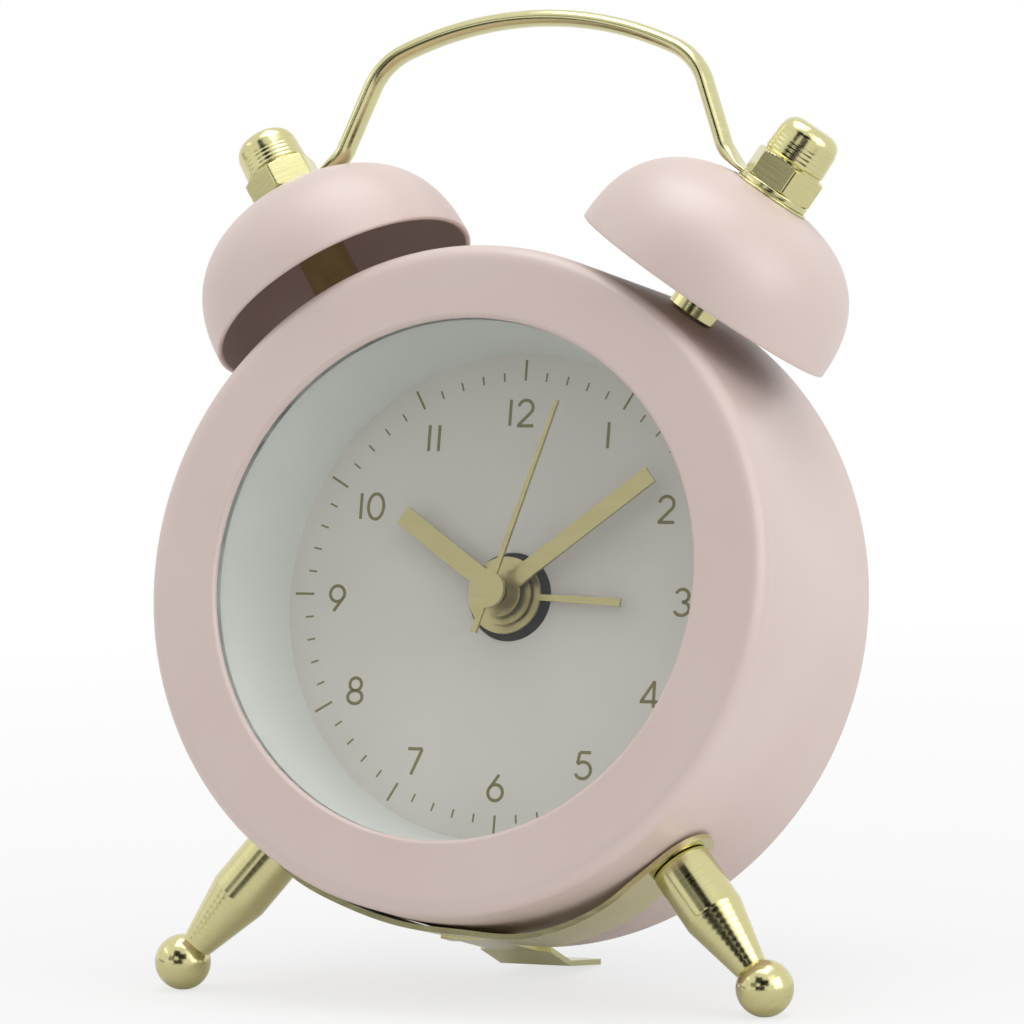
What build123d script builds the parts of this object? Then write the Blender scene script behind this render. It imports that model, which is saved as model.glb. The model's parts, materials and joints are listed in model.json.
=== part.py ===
from build123d import *

import os
from math import asin, atan2, cos, degrees, hypot, radians, sin, sqrt

os.makedirs("parts", exist_ok=True)

# A small twin-bell table clock. Lengths are in millimetres and angles in degrees. The clock
# stands on the plane z = 0, faces -Y and leans back. A "depth" runs from the bezel's face
# straight back along the axis of the case, a "reach" is a distance from that axis, and an
# angle of a bell or a hand goes clockwise from twelve o'clock, seen from the front.

# Case: a drum drawn from sheet metal, turned in at the front as a flat bezel
case_radius = 30.0
case_flare = 0.85
case_depth = 23.7
case_wall = 0.6
case_front_round = 1.5
case_rear_round = 0.9
case_rear_lip = 1.4
bezel_width = 6.7
bezel_edge_round = 0.45

# Fits between pieces
running_gap = 0.05
seat_gap = 0.03
free_gap = 0.2
cut_overrun = 2.0

# Lens, dial ring and dial
lens_overlap = 1.3
lens_thickness = 1.0
dial_thickness = 0.5
dial_overlap = 1.75
dial_hole_radius = 4.05
ring_taper = 1.05
ring_wall = 0.8
ring_flange = 0.8
post_radius = 2.2
post_angles = (0.0, 120.0, 240.0)
ear_boss_radius = 2.4
ear_boss_length = 4.5

# Bells and their standoffs
bell_angle = 33.4
bell_depth = 10.9
bell_rim_gap = 2.4
bell_radius = 12.85
bell_height = 10.75
bell_wall = 0.5
bell_fullness = 2.5
bell_crown_share = 0.32
bell_steps = 8
bell_step_power = 1.6
standoff_radius = 2.3
stud_radius = 1.2
stud_entry = 4.0
washer_radius = 3.6
washer_thickness = 0.25

# Domed cap nuts
nut_height = 6.5
nut_turn_left = 37.0
nut_turn_right = 5.5
nut_hex_height = 2.6
nut_across_flats = 6.2
nut_chamfer = 0.35
nut_round_radius = 3.0
nut_top_radius = 2.8
nut_top_round = 1.2

# Handle: one bar, oval along its length and hammered flat at both ends
handle_thickness = 1.5
handle_breadth = 2.5
handle_bend_reach = 6.2
handle_bend_radius = 2.2
handle_lean = 21.2
handle_shoulder_radius = 6.1
handle_top_radius = 33.0
handle_rise = 9.75
eyelet_radius = 3.4
eyelet_thickness = 0.6

# Legs: turned, each with a tapered neck and a ball
leg_angle = 39.8
leg_depth = 9.7
leg_radius = 2.75
leg_cylinder_length = 5.65
leg_edge_round = 0.35
neck_radius = 1.45
ball_radius = 2.55
neck_length = 8.08
ball_end_share = 0.76
floor_cut = 0.08

# Strip under the case, with the rear tab that is the third foot
strip_width = 7.0
strip_thickness = 0.5
strip_gap = 0.05
strip_end_length = 3.6
strip_bulge = 0.95
strip_bulge_angles = (-22.0, -8.0, 2.0, 11.0, 19.5, 29.0)
strip_bulge_shares = (0.0, 0.0, 0.12, 0.9, 1.05, 0.6)
tab_root_length = 1.3
tab_bend_inset = 4.2
tab_heel_length = 0.4
tab_heel_gap = 2.3
tab_end_length = 8.2
tab_end_gap = 1.5
tab_bend_radius = 0.8
tab_corner_round = 1.4
tab_neck_width = 5.0

# Screws
screw_radius = 1.0
screw_head_radius = 1.6
screw_head_height = 0.9
screw_length = 5.5
slot_width = 0.4
slot_depth = 0.4
small_screw_radius = 0.6
small_head_radius = 1.2
small_head_height = 0.5
small_screw_length = 3.4

# Hands, as they stand at nine minutes past ten
hand_thickness = 0.35
minute_angle = 52.7
minute_length = 17.9
minute_width = 1.6
minute_height = 3.0
minute_hub_radius = 2.2
hour_angle = 304.3
hour_length = 12.6
hour_width = 1.8
hour_height = 2.0
hour_hub_radius = 2.8
second_angle = 17.5
second_length = 18.1
second_tail = 4.0
second_root_width = 0.55
second_tip_width = 0.3
second_height = 4.8
second_cap_radius = 1.7
second_cap_height = 0.45
alarm_angle = 92.5
alarm_length = 11.4
alarm_root_width = 0.5
alarm_tip_width = 0.7
alarm_height = 1.3
alarm_hub_radius = 3.5

# Nested tubes of the hands, from the inside out
second_arbor_radius = 0.45
minute_tube_radius = 1.0
hour_tube_radius = 1.55
alarm_tube_radius = 2.1

# Movement: a flat quartz movement of three plates
movement_half_width = 19.0
movement_corner_round = 4.0
front_plate_thickness = 1.0
middle_plate_thickness = 0.7
rear_plate_thickness = 1.0
tray_wall = 1.0
wheel_thickness = 0.5
layer_gap = 0.2
rear_margin = 0.7
arbor_radius = 0.35
pivot_depth = 0.6
corner_screw_place = 16.2
corner_boss_radius = 1.2
ear_width = 4.8
middle_left = -15.0
middle_right = 8.0
middle_top = 8.8
plate_post_radius = 0.9
plate_post_places = ((-13.5, 7.0), (-13.5, -9.5), (3.5, 7.6), (6.9, -9.9))

# Gears: straight-sided teeth with plenty of play, as in moulded clock wheels
running_module = 0.2
second_module = 0.32
motion_module = 0.25
tooth_top_share = 0.70
tooth_bottom_share = 1.15
tooth_tip_share = 0.16
tooth_root_share = 0.46
rotor_teeth = 6
intermediate_teeth = 30
intermediate_pinion_teeth = 6
second_teeth = 36
second_pinion_teeth = 8
third_teeth = 60
third_pinion_teeth = 8
centre_teeth = 64
minute_teeth = 12
motion_teeth = 36
motion_pinion_teeth = 12
hour_teeth = 48
time_set_teeth = 12
alarm_teeth = 48
alarm_set_teeth = 24

# Directions of the arbors, anticlockwise from three o'clock, seen from the front
intermediate_direction = -45.0
rotor_direction = -90.0
third_direction = 135.0
motion_direction = -135.0
alarm_set_direction = -10.0

# Motor
magnet_radius = 1.9
magnet_length = 1.2
stator_hole_radius = 2.15
stator_ring_radius = 3.0
stator_bar_width = 1.35
stator_end_width = 1.5
coil_up = -14.3
coil_length = 15.0
coil_flange = 0.6
coil_radius = 2.2
coil_inner_radius = 1.2
bobbin_tube_radius = 1.15
coil_gap = 0.35
core_length = 21.0
core_width = 1.5
core_thickness = 0.6

# Electrics
cell_radius = 5.8
cell_height = 5.4
cell_place = 11.0
cell_well_radius = 6.3
contact_thickness = 0.2
contact_width = 3.0
board_left = -14.0
board_bottom = 9.5
board_top = 17.4
board_thickness = 0.6
chip_radius = 1.8
chip_height = 0.9
crystal_radius = 1.0
crystal_length = 6.0
crystal_x = -13.0
buzzer_x = 13.2
buzzer_up = -6.8
buzzer_radius = 4.4
buzzer_height = 4.4
buzzer_port_radius = 0.7
leaf_x = 1.5
leaf_width = 1.2
leaf_tip_up = 4.2

# Back cover, battery door, switch and knobs
cover_inset = 0.7
cover_gap = 0.6
cover_thickness = 1.5
cover_edge_round = 0.5
door_radius = 7.4
door_thickness = 1.2
door_gap = 0.1
door_plug_radius = 6.0
door_slot_length = 7.0
door_slot_width = 1.2
door_slot_depth = 0.6
sound_hole_radius = 0.5
sound_circle_radius = 2.2
sound_holes = 6
switch_x = -10.0
switch_up = 13.5
switch_travel = 2.5
switch_stem_length = 2.2
switch_stem_width = 1.6
switch_base_length = 7.5
switch_base_width = 4.0
switch_base_thickness = 0.35
switch_thumb_length = 3.2
switch_thumb_width = 2.6
switch_thumb_height = 1.0
knob_radius = 4.0
knob_height = 3.4
knob_flute_depth = 0.3
knob_flutes = 24
knob_gap = 0.3
knob_bore_depth = 2.6
set_arbor_radius = 0.8

# Radii and depths that follow from the case
case_radius_rear = case_radius + case_flare
bezel_opening_radius = case_radius - bezel_width
cover_radius = case_radius_rear - case_rear_lip - free_gap
cover_front_depth = case_depth - cover_inset
cover_back_depth = cover_front_depth + cover_thickness
layer_step = wheel_thickness + layer_gap
plates_thickness = front_plate_thickness + middle_plate_thickness + rear_plate_thickness
layers_thickness = 6 * layer_step + 2 * layer_gap + wheel_thickness + rear_margin
movement_back = cover_front_depth - cover_gap
dial_back_depth = movement_back - plates_thickness - layers_thickness
dial_depth = dial_back_depth - dial_thickness
ring_front_radius = bezel_opening_radius
ring_rear_radius = ring_front_radius - ring_taper
dial_radius = ring_rear_radius + dial_overlap
ear_reach = cover_radius - free_gap - ear_width / 2


def case_radius_at(depth):
    """Outer radius of the drum, which widens evenly from the bezel to the rear edge."""
    straight = case_depth - case_rear_round - case_front_round
    return case_radius + case_flare / straight * (depth - case_front_round)


# Reaches of the legs, and the lean: both balls and the end of the rear tab touch the floor
strip_back_depth = leg_depth + strip_width / 2
strip_reach = case_radius_at(strip_back_depth) + seat_gap
strip_outer_reach = strip_reach + strip_thickness
leg_cylinder_reach = strip_outer_reach + leg_cylinder_length
ball_reach = leg_cylinder_reach + neck_length
ball_drop = ball_reach * cos(radians(leg_angle))
tab_end_depth = case_depth + tab_end_length
tab_end_drop = case_radius + tab_end_gap
tab_run = tab_end_depth - leg_depth
tab_rise = ball_drop - tab_end_drop
lean = degrees(asin(ball_radius / hypot(tab_run, tab_rise)) + atan2(tab_rise, tab_run))
lean_sin = sin(radians(lean))
lean_cos = cos(radians(lean))
axis_height = ball_radius - floor_cut + ball_drop * lean_cos + leg_depth * lean_sin
case_front_y = case_front_round * lean_cos - (case_radius - case_front_round) * lean_sin
case_foremost_y = case_front_y - case_front_round
cover_rear_y = (cover_radius - cover_edge_round) * lean_sin
cover_rearmost_y = cover_rear_y + (cover_back_depth - cover_edge_round) * lean_cos + cover_edge_round
front = Plane(
    origin=(0, -(case_foremost_y + cover_rearmost_y) / 2, axis_height),
    x_dir=(1, 0, 0),
    z_dir=(0, -lean_cos, lean_sin),
)


def dial_plane(depth, x=0.0, up=0.0):
    """Plane parallel to the dial, facing the front, centred x to the right and up."""
    origin = front.from_local_coords((x, up, -depth))
    return Plane(origin=origin, x_dir=front.x_dir, z_dir=front.z_dir)


def arbor_section(x=0.0, up=0.0):
    """Plane through an arbor, whose x is the radius and whose y is the depth."""
    origin = front.from_local_coords((x, up, 0))
    return Plane(origin=origin, x_dir=front.x_dir, z_dir=front.y_dir)


def side_section():
    """Plane through the middle of the clock, seen from its side: x is the depth, y is up."""
    return Plane(origin=front.origin, x_dir=-front.z_dir, z_dir=front.x_dir)


def spoke_section(depth, angle):
    """Plane parallel to the dial, turned so that its y runs outward at the angle."""
    turn = radians(angle)
    across = front.x_dir * cos(turn) - front.y_dir * sin(turn)
    return Plane(origin=dial_plane(depth).origin, x_dir=across, z_dir=front.z_dir)


def spoke(depth, angle, reach):
    """Plane square to the radius at the angle, facing outward; its y runs back."""
    section = spoke_section(depth, angle)
    return Plane(
        origin=section.from_local_coords((0, reach, 0)),
        x_dir=section.x_dir,
        z_dir=section.y_dir,
    )


def polar(reach, angle):
    """Corner at a reach and a direction, anticlockwise from the x axis."""
    return (reach * cos(radians(angle)), reach * sin(radians(angle)))


def turned(place, outline, rounds=0.0):
    """Swing a closed outline of (radius, height) corners about the y axis of its plane."""
    radii = rounds if isinstance(rounds, (list, tuple)) else [rounds] * len(outline)
    with BuildSketch(place) as profile:
        with BuildLine():
            if any(radii):
                FilletPolyline(*outline, radius=radii, close=True)
            else:
                Polyline(*outline, close=True)
        make_face()
    revolve(profile.sketch, axis=Axis(place.origin, place.y_dir))


def disc(place, radius, thickness, bore=0.0):
    """Flat disc, with or without a bore, that runs back from its plane."""
    with BuildSketch(place) as profile:
        Circle(radius)
        if bore:
            Circle(bore, mode=Mode.SUBTRACT)
    extrude(profile.sketch, amount=-thickness)


def drill(place, radius, depth):
    """Round hole that runs back from its plane."""
    with BuildSketch(place) as profile:
        Circle(radius)
    extrude(profile.sketch, amount=-depth, mode=Mode.SUBTRACT)


def gear_outline(teeth, module, phase):
    """Corners of a gear with straight-sided teeth, one tooth centred on the phase angle."""
    pitch_radius = teeth * module / 2
    tip = pitch_radius + tooth_top_share * module
    root = pitch_radius - tooth_bottom_share * module
    step = 360 / teeth
    corners = []
    for tooth in range(teeth):
        middle = phase + tooth * step
        corners.append(polar(root, middle - tooth_root_share * step / 2))
        corners.append(polar(tip, middle - tooth_tip_share * step / 2))
        corners.append(polar(tip, middle + tooth_tip_share * step / 2))
        corners.append(polar(root, middle + tooth_root_share * step / 2))
    return corners


def gear(place, teeth, module, thickness, phase):
    """Gear that runs back from its plane."""
    with BuildSketch(place) as profile:
        with BuildLine():
            Polyline(*gear_outline(teeth, module, phase), close=True)
        make_face()
    extrude(profile.sketch, amount=-thickness)


def mesh_phase(direction, driver_phase, driver_teeth, follower_teeth):
    """Phase that puts a gap of the follower on the tooth of its driver."""
    shift = (driver_phase - direction) * driver_teeth / follower_teeth
    return direction + 180 - shift + 180 / follower_teeth


def facing_back(depth, x=0.0, up=0.0):
    """Plane parallel to the dial that faces the back of the clock."""
    place = dial_plane(depth, x, up)
    return Plane(origin=place.origin, x_dir=place.x_dir, z_dir=-place.z_dir)


def screw(place, shank, length, head, head_height):
    """Slotted screw: the head stands in front of its plane and the shank goes back."""
    disc(place, shank, length)
    disc(place.offset(head_height), head, head_height)
    with BuildSketch(place.offset(head_height)) as slot:
        Rectangle(2 * head, slot_width)
    extrude(slot.sketch, amount=-slot_depth, mode=Mode.SUBTRACT)


def small_screw(place):
    """Small screw of the movement, the dial ring and the cover."""
    screw(place, small_screw_radius, small_screw_length, small_head_radius, small_head_height)


def finish(piece, label):
    """Name a finished piece and write it."""
    piece.part.label = label
    export_step(piece.part, f"parts/{label}.step")


# Depths of the layers, worked out from the dial back
lens_depth = case_wall
ring_front_depth = lens_depth + lens_thickness
front_plate_back = dial_back_depth + front_plate_thickness
alarm_layer = front_plate_back + layer_gap
hour_layer = alarm_layer + layer_step
motion_layer = hour_layer + layer_step
middle_plate_front = motion_layer + layer_step
middle_plate_back = middle_plate_front + middle_plate_thickness
centre_layer = middle_plate_back + layer_gap
third_layer = centre_layer + layer_step
second_layer = third_layer + layer_step
intermediate_layer = second_layer + layer_step
rear_plate_front = intermediate_layer + wheel_thickness + rear_margin

# Places of the arbors on the dial plane
intermediate_distance = (second_teeth + intermediate_pinion_teeth) * second_module / 2
rotor_distance = (intermediate_teeth + rotor_teeth) * running_module / 2
third_distance = (second_pinion_teeth + third_teeth) * running_module / 2
centre_module = 2 * third_distance / (third_pinion_teeth + centre_teeth)
motion_distance = (minute_teeth + motion_teeth) * motion_module / 2
hour_module = 2 * motion_distance / (motion_pinion_teeth + hour_teeth)
time_set_distance = (motion_teeth + time_set_teeth) * motion_module / 2
alarm_set_distance = (alarm_teeth + alarm_set_teeth) * hour_module / 2
intermediate_place = polar(intermediate_distance, intermediate_direction)
rotor_offset = polar(rotor_distance, rotor_direction)
rotor_place = (intermediate_place[0] + rotor_offset[0], intermediate_place[1] + rotor_offset[1])
third_place = polar(third_distance, third_direction)
motion_place = polar(motion_distance, motion_direction)
time_set_place = polar(motion_distance + time_set_distance, motion_direction)
alarm_set_place = polar(alarm_set_distance, alarm_set_direction)
cell_middle = (cell_place, cell_place)
cell_depth = rear_plate_front - 2 * layer_gap - cell_height
board_depth = rear_plate_front - layer_gap - board_thickness
corner_places = [
    (across * corner_screw_place, up * corner_screw_place) for across in (-1, 1) for up in (-1, 1)
]
ear_places = [(-ear_reach, 0), (ear_reach, 0)]

# Case
case_outline = [
    (bezel_opening_radius, 0),
    (case_radius, 0),
    (case_radius_rear, case_depth),
    (case_radius_rear - case_rear_lip, case_depth),
    (case_radius_rear - case_rear_lip, case_depth - case_wall),
    (case_radius_rear - case_wall, case_depth - case_wall),
    (case_radius - case_wall, case_wall),
    (bezel_opening_radius, case_wall),
]
case_rounds = [bezel_edge_round, case_front_round, case_rear_round, 0, 0]
case_rounds += [case_rear_round - case_wall, case_front_round - case_wall, 0]
with BuildPart() as case_shell:
    turned(arbor_section(), case_outline, case_rounds)
    for side in (-1, 1):
        for depth, angle in ((bell_depth, side * bell_angle), (leg_depth, 180 - side * leg_angle)):
            hole = spoke(depth, angle, case_radius_at(depth) + case_wall)
            drill(hole, screw_radius + running_gap, 3 * case_wall)
finish(case_shell, "case_shell")

# Lens, clamped between the bezel and the ring
with BuildPart() as lens:
    disc(dial_plane(lens_depth), bezel_opening_radius + lens_overlap, lens_thickness)
finish(lens, "lens")

# Ring between lens and dial: a tapered tube with two flanges and the posts for the cover
ring_outline = [
    (ring_front_radius, ring_front_depth),
    (cover_radius, ring_front_depth),
    (cover_radius, ring_front_depth + ring_flange),
    (ring_front_radius + ring_wall, ring_front_depth + ring_flange),
    (ring_rear_radius + ring_wall, dial_depth - ring_flange),
    (cover_radius, dial_depth - ring_flange),
    (cover_radius, dial_depth),
    (ring_rear_radius, dial_depth),
]
ring_post_reach = dial_radius + free_gap + post_radius
with BuildPart() as dial_ring:
    turned(arbor_section(), ring_outline)
    for angle in post_angles:
        place = (ring_post_reach * sin(radians(angle)), ring_post_reach * cos(radians(angle)))
        disc(dial_plane(dial_depth, *place), post_radius, cover_front_depth - dial_depth)
        hole = dial_plane(cover_front_depth - small_screw_length, *place)
        drill(hole, small_screw_radius + seat_gap, cut_overrun + small_screw_length)
    for place in ear_places:
        disc(dial_plane(dial_back_depth - ear_boss_length, *place), ear_boss_radius, ear_boss_length)
        hole = dial_plane(dial_back_depth - small_screw_length, *place)
        drill(hole, small_screw_radius + seat_gap, small_screw_length)
finish(dial_ring, "dial_ring")

with BuildPart() as dial_plate:
    disc(dial_plane(dial_depth), dial_radius, dial_thickness, dial_hole_radius)
finish(dial_plate, "dial_plate")

# Bells: the wall follows a full, flat-crowned curve from the rim to the crown
bell_rim_reach = case_radius + bell_rim_gap
bell_crown_reach = bell_rim_reach + bell_height
bell_crown_rise = (1 - bell_crown_share ** bell_fullness) ** (1 / bell_fullness)


def bell_curve(radius, height):
    """Points of one wall of the bell, from the rim to the flat crown, as (radius, reach)."""
    points = []
    for step in range(bell_steps + 1):
        rise = 1 - (1 - step / bell_steps) ** bell_step_power
        spread = (1 - (rise * bell_crown_rise) ** bell_fullness) ** (1 / bell_fullness)
        points.append((radius * spread, bell_rim_reach + height * rise))
    return points


def make_bell(side):
    """Thin bell with a hole for the stud at its crown."""
    outside = bell_curve(bell_radius, bell_height)
    inside = bell_curve(bell_radius - bell_wall, bell_height - bell_wall)
    section = spoke_section(bell_depth, side * bell_angle)
    hole = stud_radius + running_gap
    with BuildPart() as bell:
        with BuildSketch(section):
            with BuildLine():
                outer = Spline(*outside, tangents=[(0, 1), (-1, 0)])
                crown = Line(outer @ 1, (hole, bell_crown_reach))
                Line(crown @ 1, (hole, bell_crown_reach - bell_wall))
                Line((hole, bell_crown_reach - bell_wall), inside[-1])
                inner = Spline(*inside[::-1], tangents=[(1, 0), (0, -1)])
                Line(inner @ 1, outer @ 0)
            make_face()
        revolve(axis=Axis(section.origin, section.y_dir))
    return bell


bell_left = make_bell(-1)
finish(bell_left, "bell_left")
bell_right = make_bell(1)
finish(bell_right, "bell_right")

# Standoffs, washers and nuts, one of each on either side
standoff_foot = case_radius_at(bell_depth + standoff_radius)
washer_reach = bell_crown_reach
eyelet_reach = washer_reach + washer_thickness
nut_reach = eyelet_reach + eyelet_thickness
with BuildPart() as bell_posts:
    for side in (-1, 1):
        outline = [
            (screw_radius + running_gap, standoff_foot),
            (standoff_radius, standoff_foot),
            (standoff_radius, bell_crown_reach - bell_wall),
            (stud_radius, bell_crown_reach - bell_wall),
            (stud_radius, nut_reach + stud_entry),
            (0, nut_reach + stud_entry),
            (0, standoff_foot + screw_length),
            (screw_radius + running_gap, standoff_foot + screw_length),
        ]
        turned(spoke_section(bell_depth, side * bell_angle), outline)
finish(bell_posts, "bell_posts")

with BuildPart() as post_screws:
    for side in (-1, 1):
        inside_wall = case_radius_at(bell_depth) - case_wall
        seat = spoke(bell_depth, side * bell_angle, inside_wall - running_gap)
        inward = Plane(origin=seat.origin, x_dir=seat.x_dir, z_dir=-seat.z_dir)
        screw(inward, screw_radius, screw_length, screw_head_radius, screw_head_height)
finish(post_screws, "post_screws")

with BuildPart() as bell_washers:
    for side in (-1, 1):
        place = spoke(bell_depth, side * bell_angle, eyelet_reach)
        disc(place, washer_radius, washer_thickness, stud_radius + running_gap)
finish(bell_washers, "bell_washers")

nut_corner_radius = nut_across_flats / sqrt(3)
with BuildPart() as cap_nuts:
    for side, turn in ((-1, nut_turn_left), (1, nut_turn_right)):
        with BuildSketch(spoke(bell_depth, side * bell_angle, nut_reach)):
            RegularPolygon(nut_corner_radius, 6, rotation=turn)
        extrude(amount=nut_hex_height)
    for side in (-1, 1):
        section = spoke_section(bell_depth, side * bell_angle)
        hex_top = nut_reach + nut_hex_height
        with BuildSketch(section):
            for level, slope in ((nut_reach, 1), (hex_top, -1)):
                with BuildLine():
                    Polyline(
                        (nut_corner_radius - nut_chamfer, level),
                        (nut_corner_radius + nut_chamfer, level),
                        (nut_corner_radius + nut_chamfer, level + slope * nut_chamfer),
                        close=True,
                    )
                make_face()
        revolve(axis=Axis(section.origin, section.y_dir), mode=Mode.SUBTRACT)
        outline = [
            (0, hex_top),
            (nut_round_radius, hex_top),
            (nut_top_radius, nut_reach + nut_height),
            (0, nut_reach + nut_height),
        ]
        turned(section, outline, [0, 0, nut_top_round, 0])
        bore = spoke(bell_depth, side * bell_angle, nut_reach + stud_entry + free_gap)
        drill(bore, stud_radius + running_gap, stud_entry + free_gap)
finish(cap_nuts, "cap_nuts")

# Handle: the bar leaves each eyelet square to the stud, turns up and crosses over the top
bar_reach = eyelet_reach + handle_thickness / 2
stud_x = bar_reach * sin(radians(bell_angle))
stud_up = bar_reach * cos(radians(bell_angle))
bend_x = stud_x - handle_bend_reach * cos(radians(bell_angle))
bend_up = stud_up + handle_bend_reach * sin(radians(bell_angle))
handle_top_height = bell_crown_reach + handle_rise
top_centre_up = handle_top_height - handle_top_radius


def shoulder_corner():
    """Where the leaning leg of the handle meets the arc over the top."""
    along = (-sin(radians(handle_lean)), cos(radians(handle_lean)))
    from_centre = (bend_x, bend_up - top_centre_up)
    half = from_centre[0] * along[0] + from_centre[1] * along[1]
    rest = from_centre[0] ** 2 + from_centre[1] ** 2 - handle_top_radius ** 2
    run = -half + sqrt(half * half - rest)
    return (bend_x + run * along[0], bend_up + run * along[1])


shoulder_x, shoulder_up = shoulder_corner()
bar_start = washer_radius + free_gap
start_x = stud_x - bar_start * cos(radians(bell_angle))
start_up = stud_up + bar_start * sin(radians(bell_angle))
with BuildPart() as handle:
    with BuildLine(dial_plane(bell_depth)) as handle_path:
        Line((-start_x, start_up), (-bend_x, bend_up))
        Line((-bend_x, bend_up), (-shoulder_x, shoulder_up))
        ThreePointArc((-shoulder_x, shoulder_up), (0, handle_top_height), (shoulder_x, shoulder_up))
        Line((shoulder_x, shoulder_up), (bend_x, bend_up))
        Line((bend_x, bend_up), (start_x, start_up))
        corners = handle_path.vertices().sort_by(Axis.X)
        fillet(corners[1:2] + corners[-2:-1], radius=handle_bend_radius)
        corners = handle_path.vertices().sort_by(Axis.Z)[-2:]
        fillet(corners, radius=handle_shoulder_radius)
    bar_end = Plane(
        origin=dial_plane(bell_depth).from_local_coords((-start_x, start_up, 0)),
        x_dir=front.z_dir,
        z_dir=spoke_section(bell_depth, -bell_angle).x_dir,
    )
    with BuildSketch(bar_end):
        Ellipse(handle_breadth / 2, handle_thickness / 2)
    sweep(path=handle_path.line)
    for side in (-1, 1):
        eyelet_plane = spoke(bell_depth, side * bell_angle, nut_reach)
        tongue_end = -side * (bar_start + handle_thickness)
        with BuildSketch(eyelet_plane):
            Circle(eyelet_radius)
            with BuildLine():
                Polyline(
                    (0, eyelet_radius),
                    (tongue_end, handle_thickness / 2),
                    (tongue_end, -handle_thickness / 2),
                    (0, -eyelet_radius),
                    close=True,
                )
            make_face()
        extrude(amount=-eyelet_thickness)
        hole = eyelet_plane.offset(handle_thickness)
        drill(hole, stud_radius + running_gap, handle_thickness + 2 * eyelet_thickness)
finish(handle, "handle")

# Legs and their screws


def make_leg(side):
    """Turned leg with its ball, cut flat where it stands on the floor."""
    ball_end = ball_reach + ball_end_share * ball_radius
    neck_join = ball_reach - sqrt(ball_radius ** 2 - neck_radius ** 2)
    section = spoke_section(leg_depth, 180 - side * leg_angle)
    end_radius = ball_radius * sqrt(1 - ball_end_share ** 2)
    with BuildPart() as leg:
        with BuildSketch(section):
            with BuildLine():
                Polyline(
                    (0, strip_outer_reach),
                    (leg_radius - leg_edge_round, strip_outer_reach),
                    (leg_radius, strip_outer_reach + leg_edge_round),
                    (leg_radius, leg_cylinder_reach),
                    (neck_radius, neck_join),
                )
                ThreePointArc(
                    (neck_radius, neck_join),
                    (ball_radius, ball_reach),
                    (end_radius, ball_end),
                )
                Line((end_radius, ball_end), (0, ball_end))
                Line((0, ball_end), (0, strip_outer_reach))
            make_face()
        revolve(axis=Axis(section.origin, section.y_dir))
        hole_end = spoke(leg_depth, 180 - side * leg_angle, strip_outer_reach + screw_length)
        drill(hole_end, screw_radius + running_gap, screw_length)
        split(bisect_by=Plane.XY, keep=Keep.TOP)
    return leg


leg_left = make_leg(-1)
finish(leg_left, "leg_left")
leg_right = make_leg(1)
finish(leg_right, "leg_right")

with BuildPart() as leg_screws:
    for side in (-1, 1):
        inside_wall = case_radius_at(leg_depth) - case_wall
        seat = spoke(leg_depth, 180 - side * leg_angle, inside_wall - running_gap)
        inward = Plane(origin=seat.origin, x_dir=seat.x_dir, z_dir=-seat.z_dir)
        screw(inward, screw_radius, screw_length, screw_head_radius, screw_head_height)
finish(leg_screws, "leg_screws")

# Strip and rear tab
strip_land = leg_radius + free_gap


def strip_point(angle, reach, across=0.0):
    """Place under the case: out along the direction at an angle from straight down, then across."""
    turn = radians(angle)
    return (reach * sin(turn) + across * cos(turn), -reach * cos(turn) + across * sin(turn))


def strip_curve(extra):
    """One face of the strip: flat under each leg and curved between the legs."""
    reach = strip_reach + extra
    left = strip_point(-leg_angle, reach, strip_land)
    right = strip_point(leg_angle, reach, -strip_land)
    points = [left]
    for angle, share in zip(strip_bulge_angles, strip_bulge_shares):
        points.append(strip_point(angle, reach + strip_gap + strip_bulge * share))
    points.append(right)
    slope = radians(leg_angle)
    start = Line(strip_point(-leg_angle, reach, -strip_end_length), left)
    Spline(*points, tangents=[(cos(slope), -sin(slope)), (cos(slope), sin(slope))])
    end = Line(right, strip_point(leg_angle, reach, strip_end_length))
    return start @ 0, end @ 1


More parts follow.
